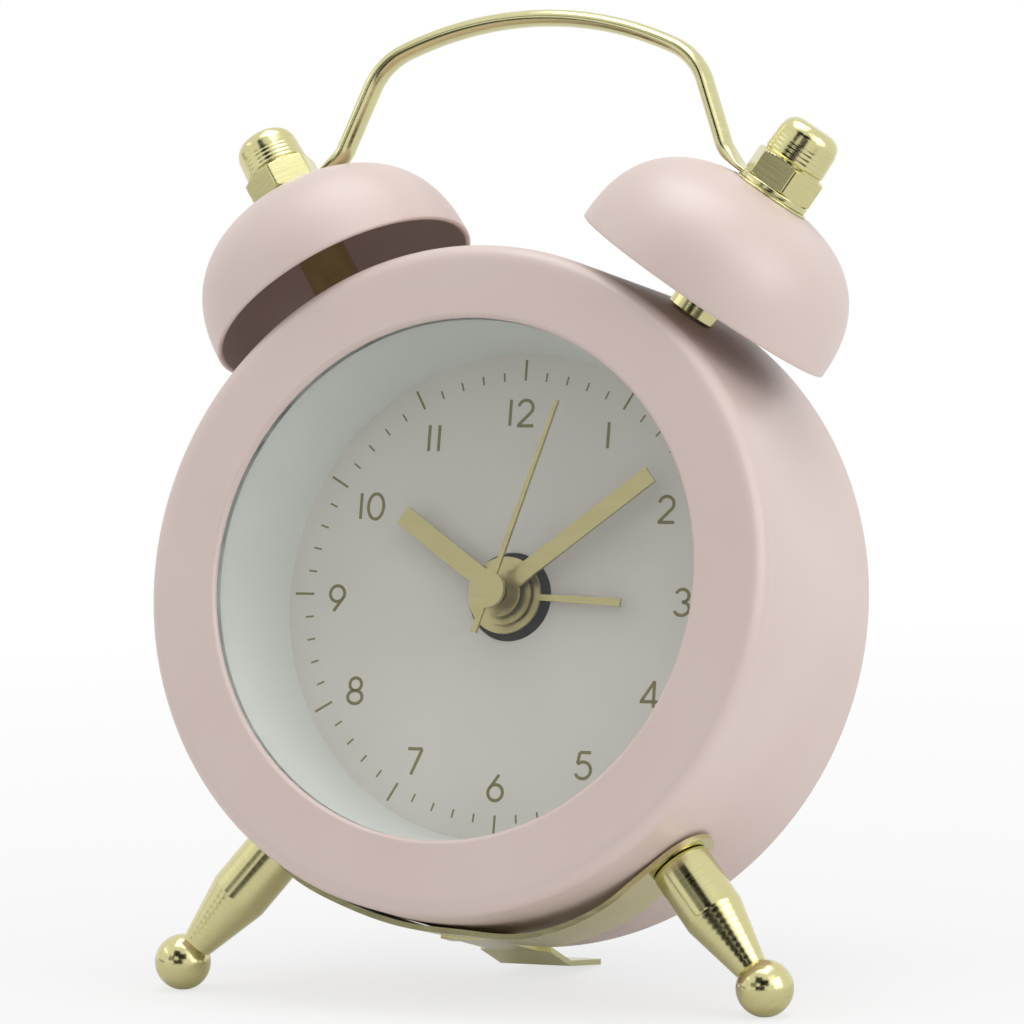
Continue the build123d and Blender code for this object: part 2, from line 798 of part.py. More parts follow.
tab_middle = -(strip_reach + strip_gap + strip_bulge * strip_bulge_shares[2] + strip_thickness / 2)
tab_bend_depth = case_depth - tab_bend_inset
tab_bend_up = tab_middle - (case_radius_at(tab_bend_depth) - case_radius_at(strip_back_depth))
tab_heel_up = strip_thickness / 2 - case_radius - tab_heel_gap
tab_end_up = strip_thickness / 2 - tab_end_drop
tab_line = [
    (leg_depth + tab_root_length, tab_middle),
    (tab_bend_depth, tab_bend_up),
    (case_depth + tab_heel_length, tab_heel_up),
    (tab_end_depth, tab_end_up),
]
with BuildPart() as leg_strip:
    with BuildSketch(dial_plane(leg_depth - strip_width / 2)):
        with BuildLine():
            inner_start, inner_end = strip_curve(0)
            outer_start, outer_end = strip_curve(strip_thickness)
            Line(inner_start, outer_start)
            Line(inner_end, outer_end)
        make_face()
    extrude(amount=-strip_width)
    corners = leg_strip.edges().filter_by(Axis(front.origin, front.z_dir), reverse=True)
    corners = corners.filter_by(GeomType.LINE).filter_by(lambda edge: edge.length < 2 * strip_thickness)
    fillet(corners, radius=strip_width / 2 - seat_gap)
    with BuildSketch(side_section()):
        with BuildLine():
            FilletPolyline(*tab_line, radius=tab_bend_radius)
        trace(line_width=strip_thickness)
    extrude(amount=strip_width / 2, both=True)
    corners = leg_strip.edges().filter_by(GeomType.LINE)
    corners = corners.filter_by(lambda edge: edge.length < 2 * strip_thickness).sort_by(Axis.Y)
    fillet(corners[-2:], radius=tab_corner_round)
    for side in (-1, 1):
        hole = spoke(leg_depth, 180 - side * leg_angle, strip_outer_reach + cut_overrun)
        drill(hole, screw_radius + running_gap, 2 * cut_overrun)
    neck_side = tab_neck_width / 2
    free_side = strip_width / 2 + cut_overrun
    neck_end_depth = tab_bend_depth - (strip_width - tab_neck_width) / 2
    with BuildSketch(arbor_section(up=tab_middle)):
        for side in (-1, 1):
            with BuildLine():
                Polyline(
                    (side * neck_side, strip_back_depth),
                    (side * neck_side, neck_end_depth),
                    (side * strip_width / 2, tab_bend_depth),
                    (side * free_side, tab_bend_depth),
                    (side * free_side, strip_back_depth),
                    close=True,
                )
            make_face()
    extrude(amount=2 * strip_thickness, both=True, mode=Mode.SUBTRACT)
    split(bisect_by=Plane.XY, keep=Keep.TOP)
finish(leg_strip, "leg_strip")

# Hands
second_hand_depth = dial_depth - second_height
second_cap_depth = second_hand_depth - second_cap_height
minute_depth = dial_depth - minute_height
hour_depth = dial_depth - hour_height
alarm_depth = dial_depth - alarm_height
second_arbor_front = second_hand_depth - second_cap_height / 2
second_boss_radius = second_arbor_radius + bell_wall
minute_tube_front = minute_depth - running_gap


def make_hand(depth, angle, hub_radius, bore, root_width, tip_width, length, tail=0.0):
    """Flat hand: a round hub and a straight or tapered blade, square at its end."""
    with BuildPart() as hand:
        disc(dial_plane(depth), hub_radius, hand_thickness)
        with BuildSketch(spoke_section(depth, angle)):
            with BuildLine():
                Polyline(
                    (-root_width / 2, -tail),
                    (root_width / 2, -tail),
                    (tip_width / 2, length),
                    (-tip_width / 2, length),
                    close=True,
                )
            make_face()
        extrude(amount=-hand_thickness)
        drill(dial_plane(depth - cut_overrun), bore, 2 * cut_overrun + hand_thickness)
    return hand


alarm_hand = make_hand(
    alarm_depth, alarm_angle, alarm_hub_radius, alarm_tube_radius + seat_gap,
    alarm_root_width, alarm_tip_width, alarm_length,
)
finish(alarm_hand, "alarm_hand")
hour_hand = make_hand(
    hour_depth, hour_angle, hour_hub_radius, hour_tube_radius + seat_gap,
    hour_width, hour_width, hour_length,
)
finish(hour_hand, "hour_hand")
minute_hand = make_hand(
    minute_depth, minute_angle, minute_hub_radius, minute_tube_radius + seat_gap,
    minute_width, minute_width, minute_length,
)
finish(minute_hand, "minute_hand")

with BuildPart() as second_hand:
    disc(dial_plane(second_cap_depth), second_cap_radius, second_cap_height)
    with BuildSketch(spoke_section(second_hand_depth, second_angle)):
        with BuildLine():
            Polyline(
                (-second_root_width / 2, -second_tail),
                (second_root_width / 2, -second_tail),
                (second_tip_width / 2, second_length),
                (-second_tip_width / 2, second_length),
                close=True,
            )
        make_face()
    extrude(amount=-hand_thickness)
    second_boss_length = minute_tube_front - free_gap - second_hand_depth
    disc(dial_plane(second_hand_depth), second_boss_radius, second_boss_length)
    hole = dial_plane(second_arbor_front - seat_gap)
    drill(hole, second_arbor_radius + seat_gap, cut_overrun + minute_height)
finish(second_hand, "second_hand")

# Wheels and arbors
minute_tube_bore = second_arbor_radius + running_gap
hour_tube_bore = minute_tube_radius + running_gap
alarm_tube_bore = hour_tube_radius + running_gap
minute_phase = motion_direction
motion_phase = mesh_phase(motion_direction, minute_phase, minute_teeth, motion_teeth)
time_set_phase = mesh_phase(motion_direction, motion_phase, motion_teeth, time_set_teeth)
motion_pinion_phase = motion_direction + 180
hour_phase = mesh_phase(motion_pinion_phase, motion_pinion_phase, motion_pinion_teeth, hour_teeth)
alarm_phase = alarm_set_direction
alarm_set_phase = mesh_phase(alarm_set_direction, alarm_phase, alarm_teeth, alarm_set_teeth)
rotor_phase = rotor_direction + 180
intermediate_phase = mesh_phase(rotor_phase, rotor_phase, rotor_teeth, intermediate_teeth)
intermediate_pinion_phase = intermediate_direction + 180
second_phase = mesh_phase(
    intermediate_pinion_phase, intermediate_pinion_phase, intermediate_pinion_teeth, second_teeth
)
second_pinion_phase = third_direction
third_phase = mesh_phase(third_direction, second_pinion_phase, second_pinion_teeth, third_teeth)
third_pinion_phase = third_direction + 180
centre_phase = mesh_phase(third_pinion_phase, third_pinion_phase, third_pinion_teeth, centre_teeth)
arbor_front = middle_plate_back - pivot_depth
arbor_length = rear_plate_front + pivot_depth - arbor_front
pinion_length = wheel_thickness + layer_gap

with BuildPart() as alarm_wheel:
    gear(dial_plane(alarm_layer), alarm_teeth, hour_module, wheel_thickness, alarm_phase)
    disc(dial_plane(alarm_depth), alarm_tube_radius, alarm_layer - alarm_depth)
    drill(dial_plane(alarm_depth - cut_overrun), alarm_tube_bore, alarm_layer + 2 * cut_overrun)
finish(alarm_wheel, "alarm_wheel")

with BuildPart() as hour_wheel:
    gear(dial_plane(hour_layer), hour_teeth, hour_module, wheel_thickness, hour_phase)
    disc(dial_plane(hour_depth), hour_tube_radius, hour_layer - hour_depth)
    drill(dial_plane(hour_depth - cut_overrun), hour_tube_bore, hour_layer + 2 * cut_overrun)
finish(hour_wheel, "hour_wheel")

with BuildPart() as minute_arbor:
    gear(dial_plane(motion_layer), minute_teeth, motion_module, wheel_thickness, minute_phase)
    minute_tube_back = centre_layer + wheel_thickness + running_gap
    disc(dial_plane(minute_tube_front), minute_tube_radius, minute_tube_back - minute_tube_front)
    drill(dial_plane(minute_tube_front - cut_overrun), minute_tube_bore, minute_tube_back + cut_overrun)
finish(minute_arbor, "minute_arbor")

with BuildPart() as motion_wheel:
    motion_wheel_plane = dial_plane(motion_layer, *motion_place)
    gear(motion_wheel_plane, motion_teeth, motion_module, wheel_thickness, motion_phase)
    gear(
        dial_plane(hour_layer - running_gap, *motion_place),
        motion_pinion_teeth, hour_module, pinion_length + running_gap, motion_pinion_phase,
    )
    motion_arbor_front = front_plate_back - pivot_depth
    motion_arbor_length = middle_plate_front + pivot_depth - motion_arbor_front
    disc(dial_plane(motion_arbor_front, *motion_place), arbor_radius, motion_arbor_length)
finish(motion_wheel, "motion_wheel")

with BuildPart() as centre_wheel:
    gear(dial_plane(centre_layer), centre_teeth, centre_module, wheel_thickness, centre_phase)
    hole = dial_plane(centre_layer - cut_overrun)
    drill(hole, minute_tube_radius + running_gap, 2 * cut_overrun + wheel_thickness)
finish(centre_wheel, "centre_wheel")

with BuildPart() as third_wheel:
    gear(dial_plane(third_layer, *third_place), third_teeth, running_module, wheel_thickness, third_phase)
    gear(
        dial_plane(centre_layer, *third_place),
        third_pinion_teeth, centre_module, pinion_length, third_pinion_phase,
    )
    disc(dial_plane(arbor_front, *third_place), arbor_radius, arbor_length)
finish(third_wheel, "third_wheel")

with BuildPart() as second_wheel:
    gear(dial_plane(second_layer), second_teeth, second_module, wheel_thickness, second_phase)
    gear(dial_plane(third_layer), second_pinion_teeth, running_module, pinion_length, second_pinion_phase)
    second_arbor_back = rear_plate_front + pivot_depth
    disc(dial_plane(second_arbor_front), second_arbor_radius, second_arbor_back - second_arbor_front)
finish(second_wheel, "second_wheel")

with BuildPart() as intermediate_wheel:
    gear(
        dial_plane(intermediate_layer, *intermediate_place),
        intermediate_teeth, running_module, wheel_thickness, intermediate_phase,
    )
    gear(
        dial_plane(second_layer, *intermediate_place),
        intermediate_pinion_teeth, second_module, pinion_length, intermediate_pinion_phase,
    )
    disc(dial_plane(arbor_front, *intermediate_place), arbor_radius, arbor_length)
finish(intermediate_wheel, "intermediate_wheel")

with BuildPart() as rotor:
    disc(dial_plane(third_layer, *rotor_place), magnet_radius, magnet_length)
    gear(
        dial_plane(intermediate_layer - running_gap, *rotor_place),
        rotor_teeth, running_module, wheel_thickness + 2 * running_gap, rotor_phase,
    )
    disc(dial_plane(arbor_front, *rotor_place), arbor_radius, arbor_length)
finish(rotor, "rotor")


def make_set_arbor(place, teeth, module, depth, phase):
    """Arbor of a setting knob: front pivot, pinion and a long shank out to the knob."""
    shank_back = cover_back_depth + knob_gap + knob_bore_depth - seat_gap
    pivot_front = front_plate_back - pivot_depth
    with BuildPart() as arbor:
        gear(dial_plane(depth, *place), teeth, module, wheel_thickness, phase)
        disc(dial_plane(pivot_front, *place), arbor_radius, depth - pivot_front)
        disc(dial_plane(depth, *place), set_arbor_radius, shank_back - depth)
    return arbor


def make_knob(place):
    """Fluted knob with a blind bore for its arbor."""
    step = 360 / knob_flutes
    corners = []
    for flute in range(knob_flutes):
        corners.append(polar(knob_radius, flute * step))
        corners.append(polar(knob_radius - knob_flute_depth, (flute + 0.5) * step))
    knob_front = cover_back_depth + knob_gap
    with BuildPart() as knob:
        with BuildSketch(dial_plane(knob_front, *place)):
            with BuildLine():
                Polyline(*corners, close=True)
            make_face()
        extrude(amount=-knob_height)
        hole = dial_plane(knob_front - cut_overrun, *place)
        drill(hole, set_arbor_radius + seat_gap, cut_overrun + knob_bore_depth)
    return knob


time_set_arbor = make_set_arbor(
    time_set_place, time_set_teeth, motion_module, motion_layer, time_set_phase
)
finish(time_set_arbor, "time_set_arbor")
alarm_set_arbor = make_set_arbor(
    alarm_set_place, alarm_set_teeth, hour_module, alarm_layer, alarm_set_phase
)
finish(alarm_set_arbor, "alarm_set_arbor")
time_set_knob = make_knob(time_set_place)
finish(time_set_knob, "time_set_knob")
alarm_set_knob = make_knob(alarm_set_place)
finish(alarm_set_knob, "alarm_set_knob")

# Plates of the movement
pivot_hole = arbor_radius + running_gap
set_hole = set_arbor_radius + running_gap
train_places = [third_place, intermediate_place, rotor_place]
set_places = [time_set_place, alarm_set_place]
core_depth = third_layer - core_thickness
core_end_x = core_length / 2 - stator_end_width / 2
middle_bottom = coil_up + coil_radius + coil_gap

with BuildPart() as movement_front_plate:
    with BuildSketch(dial_plane(dial_back_depth)):
        RectangleRounded(2 * movement_half_width, 2 * movement_half_width, movement_corner_round)
        with Locations(*ear_places):
            Circle(ear_width / 2)
        Rectangle(2 * ear_reach, ear_width)
    extrude(amount=-front_plate_thickness)
    for place in corner_places:
        disc(dial_plane(front_plate_back, *place), corner_boss_radius, rear_plate_front - front_plate_back)
        hole = dial_plane(rear_plate_front - small_screw_length, *place)
        drill(hole, small_screw_radius + seat_gap, small_screw_length)
    for place in plate_post_places:
        disc(dial_plane(front_plate_back, *place), plate_post_radius, middle_plate_front - front_plate_back)
    for side in (-1, 1):
        post = dial_plane(front_plate_back, side * core_end_x, coil_up)
        disc(post, plate_post_radius, core_depth - front_plate_back)
    for place in ear_places:
        hole = dial_plane(dial_back_depth - cut_overrun, *place)
        drill(hole, small_screw_radius + running_gap, 2 * cut_overrun)
    drill(dial_plane(dial_back_depth - cut_overrun), alarm_tube_radius + running_gap, 2 * cut_overrun)
    for place in set_places + [motion_place]:
        pivot = dial_plane(front_plate_back - pivot_depth - running_gap, *place)
        drill(pivot, pivot_hole, pivot_depth + cut_overrun)
finish(movement_front_plate, "movement_front_plate")

with BuildPart() as movement_middle_plate:
    with BuildSketch(dial_plane(middle_plate_front)):
        with BuildLine():
            Polyline(
                (middle_left, middle_bottom),
                (middle_right, middle_bottom),
                (middle_right, middle_top),
                (middle_left, middle_top),
                close=True,
            )
        make_face()
        with Locations(cell_middle):
            Circle(cell_well_radius, mode=Mode.SUBTRACT)
    extrude(amount=-middle_plate_thickness)
    for place in train_places + [motion_place]:
        drill(dial_plane(middle_plate_front - cut_overrun, *place), pivot_hole, 2 * cut_overrun)
    for place in set_places:
        drill(dial_plane(middle_plate_front - cut_overrun, *place), set_hole, 2 * cut_overrun)
    drill(dial_plane(middle_plate_front - cut_overrun), minute_tube_radius + running_gap, 2 * cut_overrun)
finish(movement_middle_plate, "movement_middle_plate")

switch_slot_x = switch_x + switch_travel / 2
with BuildPart() as movement_rear_case:
    with BuildSketch(dial_plane(front_plate_back)):
        RectangleRounded(2 * movement_half_width, 2 * movement_half_width, movement_corner_round)
    extrude(amount=front_plate_back - movement_back)
    with BuildSketch(dial_plane(front_plate_back)):
        inside = movement_half_width - tray_wall
        RectangleRounded(2 * inside, 2 * inside, movement_corner_round - tray_wall)
    extrude(amount=front_plate_back - rear_plate_front, mode=Mode.SUBTRACT)
    for place in corner_places:
        drill(dial_plane(rear_plate_front, *place), small_screw_radius + running_gap, cut_overrun)
    for place in train_places + [(0, 0)]:
        radius = second_arbor_radius + running_gap if place == (0, 0) else pivot_hole
        hole = dial_plane(rear_plate_front - cut_overrun, *place)
        drill(hole, radius, cut_overrun + pivot_depth + running_gap)
    for place in set_places:
        drill(dial_plane(rear_plate_front, *place), set_hole, cut_overrun)
    drill(dial_plane(rear_plate_front, *cell_middle), cell_well_radius, cut_overrun)
    port = dial_plane(rear_plate_front, buzzer_x, buzzer_up)
    drill(port, sound_circle_radius + sound_hole_radius, cut_overrun)
    with BuildSketch(dial_plane(rear_plate_front, switch_slot_x, switch_up)):
        slot_height = switch_stem_width + 2 * free_gap
        Rectangle(slot_height + switch_travel, slot_height)
    extrude(amount=-cut_overrun, mode=Mode.SUBTRACT)
finish(movement_rear_case, "movement_rear_case")

with BuildPart() as movement_screws:
    for place in corner_places:
        small_screw(facing_back(movement_back, *place))
finish(movement_screws, "movement_screws")

with BuildPart() as dial_screws:
    for place in ear_places:
        small_screw(facing_back(front_plate_back, *place))
finish(dial_screws, "dial_screws")

# Motor
bar_up = middle_bottom + stator_bar_width / 2
with BuildPart() as stator:
    with BuildSketch(dial_plane(third_layer)):
        with Locations(rotor_place):
            Circle(stator_ring_radius)
        with Locations((0, bar_up)):
            Rectangle(core_length, stator_bar_width)
        end_height = middle_bottom + stator_bar_width - coil_up + core_width / 2
        end_up = coil_up - core_width / 2 + end_height / 2
        with Locations((-core_end_x, end_up), (core_end_x, end_up)):
            Rectangle(stator_end_width, end_height)
        with Locations(rotor_place):
            Circle(stator_hole_radius, mode=Mode.SUBTRACT)
    extrude(amount=-wheel_thickness)
finish(stator, "stator")

with BuildPart() as coil_core:
    with BuildSketch(dial_plane(core_depth, 0, coil_up)):
        Rectangle(core_length, core_width)
    extrude(amount=-core_thickness)
finish(coil_core, "coil_core")

coil_axis_depth = core_depth + core_thickness / 2
coil_start = Plane(
    origin=dial_plane(coil_axis_depth, -coil_length / 2, coil_up).origin,
    x_dir=front.y_dir,
    z_dir=front.x_dir,
)
with BuildPart() as coil_bobbin:
    for place, radius, length in (
        (coil_start, bobbin_tube_radius, coil_length),
        (coil_start, coil_radius, coil_flange),
        (coil_start.offset(coil_length - coil_flange), coil_radius, coil_flange),
    ):
        with BuildSketch(place):
            Circle(radius)
        extrude(amount=length)
    with BuildSketch(coil_start):
        Rectangle(core_width + 2 * seat_gap, core_thickness + 2 * seat_gap)
    extrude(amount=coil_length, mode=Mode.SUBTRACT)
finish(coil_bobbin, "coil_bobbin")

with BuildPart() as coil_winding:
    with BuildSketch(coil_start.offset(coil_flange + seat_gap)):
        Circle(coil_radius - free_gap)
        Circle(coil_inner_radius, mode=Mode.SUBTRACT)
    extrude(amount=coil_length - 2 * coil_flange - 2 * seat_gap)
finish(coil_winding, "coil_winding")

# Electrics
contact_right = cell_place - cell_radius - seat_gap
board_right = contact_right - contact_thickness - seat_gap
board_middle = ((board_left + board_right) / 2, (board_bottom + board_top) / 2)
with BuildPart() as circuit_board:
    with BuildSketch(dial_plane(board_depth, *board_middle)):
        Rectangle(board_right - board_left, board_top - board_bottom)
    extrude(amount=-board_thickness)
finish(circuit_board, "circuit_board")

with BuildPart() as clock_chip:
    disc(dial_plane(board_depth - chip_height, *board_middle), chip_radius, chip_height)
finish(clock_chip, "clock_chip")

crystal_up = board_top - 2 * crystal_radius
crystal_start = Plane(
    origin=dial_plane(board_depth - crystal_radius - seat_gap, crystal_x, crystal_up).origin,
    x_dir=front.y_dir,
    z_dir=front.x_dir,
)
with BuildPart() as quartz_crystal:
    with BuildSketch(crystal_start):
        Circle(crystal_radius)
    extrude(amount=crystal_length)
finish(quartz_crystal, "quartz_crystal")

buzzer_depth = rear_plate_front - seat_gap - buzzer_height
with BuildPart() as buzzer:
    disc(dial_plane(buzzer_depth, buzzer_x, buzzer_up), buzzer_radius, buzzer_height)
    port = dial_plane(rear_plate_front - 2 * buzzer_port_radius, buzzer_x, buzzer_up)
    drill(port, buzzer_port_radius, cut_overrun)
finish(buzzer, "buzzer")

leaf_arm_depth = hour_layer + wheel_thickness + layer_gap / 2 + contact_thickness / 2
with BuildPart() as alarm_contact_spring:
    with BuildSketch(side_section().offset(leaf_x)):
        with BuildLine():
            FilletPolyline(
                (board_depth + board_thickness, board_bottom - contact_thickness / 2 - seat_gap),
                (leaf_arm_depth, board_bottom - contact_thickness / 2 - seat_gap),
                (leaf_arm_depth, leaf_tip_up),
                radius=2 * contact_thickness,
            )
        trace(line_width=contact_thickness)
    extrude(amount=leaf_width / 2, both=True)
finish(alarm_contact_spring, "alarm_contact_spring")

with BuildPart() as button_cell:
    disc(dial_plane(cell_depth, *cell_middle), cell_radius, cell_height)
finish(button_cell, "button_cell")

with BuildPart() as cell_contact_plus:
    contact_front = cell_depth + cell_height / 4
    with BuildSketch(dial_plane(contact_front, contact_right - contact_thickness / 2, cell_place)):
        Rectangle(contact_thickness, contact_width)
    extrude(amount=contact_front - cell_depth - cell_height)
finish(cell_contact_plus, "cell_contact_plus")

with BuildPart() as cell_contact_minus:
    low = front_plate_back + contact_thickness / 2
    high = cell_depth - seat_gap - contact_thickness / 2
    with BuildSketch(arbor_section(0, cell_place)):
        with BuildLine():
            Polyline(
                (cell_place - cell_radius / 2, low),
                (cell_place, low),
                (cell_place + cell_radius / 4, high),
                (cell_place + cell_radius / 2, high),
            )
        trace(line_width=contact_thickness)
    extrude(amount=contact_width / 2, both=True)
finish(cell_contact_minus, "cell_contact_minus")

# Back cover and what is fitted to it
cover_screw_places = [
    (ring_post_reach * sin(radians(angle)), ring_post_reach * cos(radians(angle))) for angle in post_angles
]
head_recess = small_head_height + seat_gap
with BuildPart() as back_cover:
    disc(dial_plane(cover_front_depth), cover_radius, cover_thickness)
    fillet(back_cover.edges().filter_by(GeomType.CIRCLE).sort_by(Axis.Y)[-1], radius=cover_edge_round)
    drill(dial_plane(cover_front_depth, *cell_middle), door_plug_radius + door_gap, cut_overrun)
    drill(dial_plane(cover_back_depth - door_thickness, *cell_middle), door_radius + door_gap, cut_overrun)
    for place in set_places:
        drill(dial_plane(cover_front_depth, *place), set_hole, cut_overrun)
    for place in cover_screw_places:
        drill(dial_plane(cover_front_depth, *place), small_screw_radius + running_gap, cut_overrun)
        recess = dial_plane(cover_back_depth - head_recess, *place)
        drill(recess, small_head_radius + running_gap, cut_overrun)
    drill(dial_plane(cover_front_depth, buzzer_x, buzzer_up), sound_hole_radius, cut_overrun)
    with BuildSketch(dial_plane(cover_front_depth, buzzer_x, buzzer_up)):
        with PolarLocations(sound_circle_radius, sound_holes):
            Circle(sound_hole_radius)
    extrude(amount=-cut_overrun, mode=Mode.SUBTRACT)
    with BuildSketch(dial_plane(cover_front_depth, switch_slot_x, switch_up)):
        Rectangle(switch_stem_length + switch_travel + 2 * free_gap, slot_height)
    extrude(amount=-cut_overrun, mode=Mode.SUBTRACT)
finish(back_cover, "back_cover")

with BuildPart() as back_screws:
    for place in cover_screw_places:
        small_screw(facing_back(cover_back_depth - head_recess, *place))
finish(back_screws, "back_screws")

cell_back_depth = cell_depth + cell_height
with BuildPart() as battery_door:
    disc(dial_plane(cover_back_depth - door_thickness, *cell_middle), door_radius, door_thickness)
    plug_front = cell_back_depth + door_gap
    plug_length = cover_back_depth - door_thickness - plug_front
    disc(dial_plane(plug_front, *cell_middle), door_plug_radius, plug_length)
    with BuildSketch(dial_plane(cover_back_depth - door_slot_depth, *cell_middle)):
        Rectangle(door_slot_length, door_slot_width)
    extrude(amount=-cut_overrun, mode=Mode.SUBTRACT)
finish(battery_door, "battery_door")

switch_base_front = movement_back + running_gap
board_back_depth = board_depth + board_thickness
switch_base_back = switch_base_front + switch_base_thickness
thumb_front = cover_back_depth + running_gap
with BuildPart() as alarm_switch:
    for depth, end, length, width in (
        (board_back_depth + running_gap, switch_base_front, switch_stem_width, switch_stem_width),
        (switch_base_front, switch_base_back, switch_base_length, switch_base_width),
        (switch_base_front, thumb_front, switch_stem_length, switch_stem_width),
        (thumb_front, thumb_front + switch_thumb_height, switch_thumb_length, switch_thumb_width),
    ):
        with BuildSketch(dial_plane(depth, switch_x, switch_up)):
            Rectangle(length, width)
        extrude(amount=depth - end)
finish(alarm_switch, "alarm_switch")
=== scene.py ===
# %% [markdown]
# # A small twin-bell table clock
# The clock is already drawn as exact solids and packed. This lesson dresses it: it loads those
# solids, swaps the ones whose rounding and turning marks matter most for finer surfaces, prints
# the dial, gives every piece a finish, and sets up the floor, the light and the camera.

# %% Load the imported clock
import json
from math import radians

import bmesh
import bpy
import numpy as np
from mathutils import Matrix, Vector


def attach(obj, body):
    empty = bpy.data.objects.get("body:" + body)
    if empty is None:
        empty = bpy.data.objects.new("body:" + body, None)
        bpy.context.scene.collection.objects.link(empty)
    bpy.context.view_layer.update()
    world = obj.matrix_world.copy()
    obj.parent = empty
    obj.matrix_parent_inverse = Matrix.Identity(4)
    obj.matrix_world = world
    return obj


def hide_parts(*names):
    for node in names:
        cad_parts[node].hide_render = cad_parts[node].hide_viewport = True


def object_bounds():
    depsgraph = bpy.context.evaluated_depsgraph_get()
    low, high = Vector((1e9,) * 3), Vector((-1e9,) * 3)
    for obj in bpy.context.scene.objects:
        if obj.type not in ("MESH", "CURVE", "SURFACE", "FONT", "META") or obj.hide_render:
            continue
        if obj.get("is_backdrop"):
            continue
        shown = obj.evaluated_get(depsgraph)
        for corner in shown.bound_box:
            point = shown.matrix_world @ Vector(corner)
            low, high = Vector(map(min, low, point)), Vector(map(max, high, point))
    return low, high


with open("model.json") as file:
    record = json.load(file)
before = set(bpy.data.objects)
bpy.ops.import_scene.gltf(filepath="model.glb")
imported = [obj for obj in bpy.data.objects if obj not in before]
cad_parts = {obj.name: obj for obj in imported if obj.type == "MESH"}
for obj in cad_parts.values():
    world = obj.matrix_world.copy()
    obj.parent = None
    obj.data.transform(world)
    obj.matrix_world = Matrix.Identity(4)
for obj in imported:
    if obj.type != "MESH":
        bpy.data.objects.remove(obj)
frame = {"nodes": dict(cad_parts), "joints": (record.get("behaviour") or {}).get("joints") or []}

cad_box = [list(corner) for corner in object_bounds()]
nodes = frame["nodes"]
print("solids loaded:", len(nodes))

# %% [markdown]
# ## The clock's own directions
# The clock leans back on its rear tab, so nothing on it is square to the floor. Measuring along
# the world's axes would make every number awkward. The minute hand's joint already knows the
# axis of the case, so the clock's own directions come from there: x to the right, height up the
# dial, and depth straight back from the bezel, all in millimetres as a maker would measure them.

# %% Right, up and back of the clock, and its centre on the bezel's face
turn = next(joint for joint in frame["joints"] if joint["name"] == "minute_turn")
back = np.array(turn["axis"], float)
back /= np.linalg.norm(back)
right = np.array((1.0, 0.0, 0.0))
up = np.cross(right, back)
hand_joint_depth = 0.014
centre = np.array(turn["pos_m"], float) - hand_joint_depth * back


def place(spots):
    """World points in metres: centre + x·right + height·up + depth·back, for spots in mm."""
    return centre + np.asarray(spots, float) @ np.stack((right, up, back)) / 1000


print("centre of the bezel, mm:", np.round(centre * 1000, 3))

# %% [markdown]
# ## From grids of points to a piece
# Every new piece here is a surface with two parameters, worked out as a whole grid of points.
# Blender could also spin, sweep or bevel curves, but a computed grid gives exact rounding and
# a UV map in real millimetres, which the turning marks need. Grids that meet share the same
# points, so merging them closes the seams and the poles.

# %% Make one mesh from several grids
merge_distance = 2e-7


def make_piece(name, sheets, finishes, body, sharp=40.0):
    """One mesh of several grids. Each sheet is points[row, column] in mm on the clock,
    marks[row, column] as its UV map, and the number of its finish."""
    spots, marks, quads, kinds, first = [], [], [], [], 0
    for points, mark, kind in sheets:
        rows, columns = points.shape[:2]
        corner = first + np.arange(rows * columns).reshape(rows, columns)
        quad = np.stack((corner[:-1, :-1], corner[:-1, 1:], corner[1:, 1:], corner[1:, :-1]), -1)
        spots.append(points.reshape(-1, 3))
        marks.append(mark.reshape(-1, 2))
        quads.append(quad.reshape(-1, 4))
        kinds.append(np.full(quads[-1].shape[0], kind))
        first += rows * columns
    mesh = bpy.data.meshes.new(name)
    mesh.from_pydata(place(np.concatenate(spots)), [], np.concatenate(quads))
    loops = np.zeros(len(mesh.loops), np.int32)
    mesh.loops.foreach_get("vertex_index", loops)
    chart = mesh.uv_layers.new(name="UVMap")
    chart.data.foreach_set("uv", np.concatenate(marks)[loops].ravel())
    mesh.polygons.foreach_set("material_index", np.concatenate(kinds).astype(np.int32))
    close_seams(mesh)
    mesh.shade_smooth()
    mesh.set_sharp_from_angle(angle=radians(sharp))
    for finish in finishes:
        mesh.materials.append(finish)
    piece = bpy.data.objects.new(name, mesh)
    bpy.context.scene.collection.objects.link(piece)
    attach(piece, body)
    print(name, "has", len(mesh.polygons), "faces")
    return piece


def close_seams(mesh):
    """Merges points that coincide, drops faces without area and turns all faces outwards."""
    work = bmesh.new()
    work.from_mesh(mesh)
    bmesh.ops.remove_doubles(work, verts=work.verts, dist=merge_distance)
    bmesh.ops.dissolve_degenerate(work, edges=work.edges, dist=merge_distance)
    bmesh.ops.recalc_face_normals(work, faces=work.faces)
    work.to_mesh(mesh)
    work.free()


# %% [markdown]
# ## Profiles and turned surfaces
# Drum, bells, nuts, legs, posts and knobs are all turned or spun on the real clock, so each is a
# profile swung round an axis. The corners of a profile get true arcs, because a real edge is
# never sharp, and extra points along the straight runs keep the shading flat there.

# %% Round a profile, fill it with points and swing it
def unit(vectors):
    """Each vector divided by its own length."""
    return vectors / np.linalg.norm(vectors, axis=-1, keepdims=True)


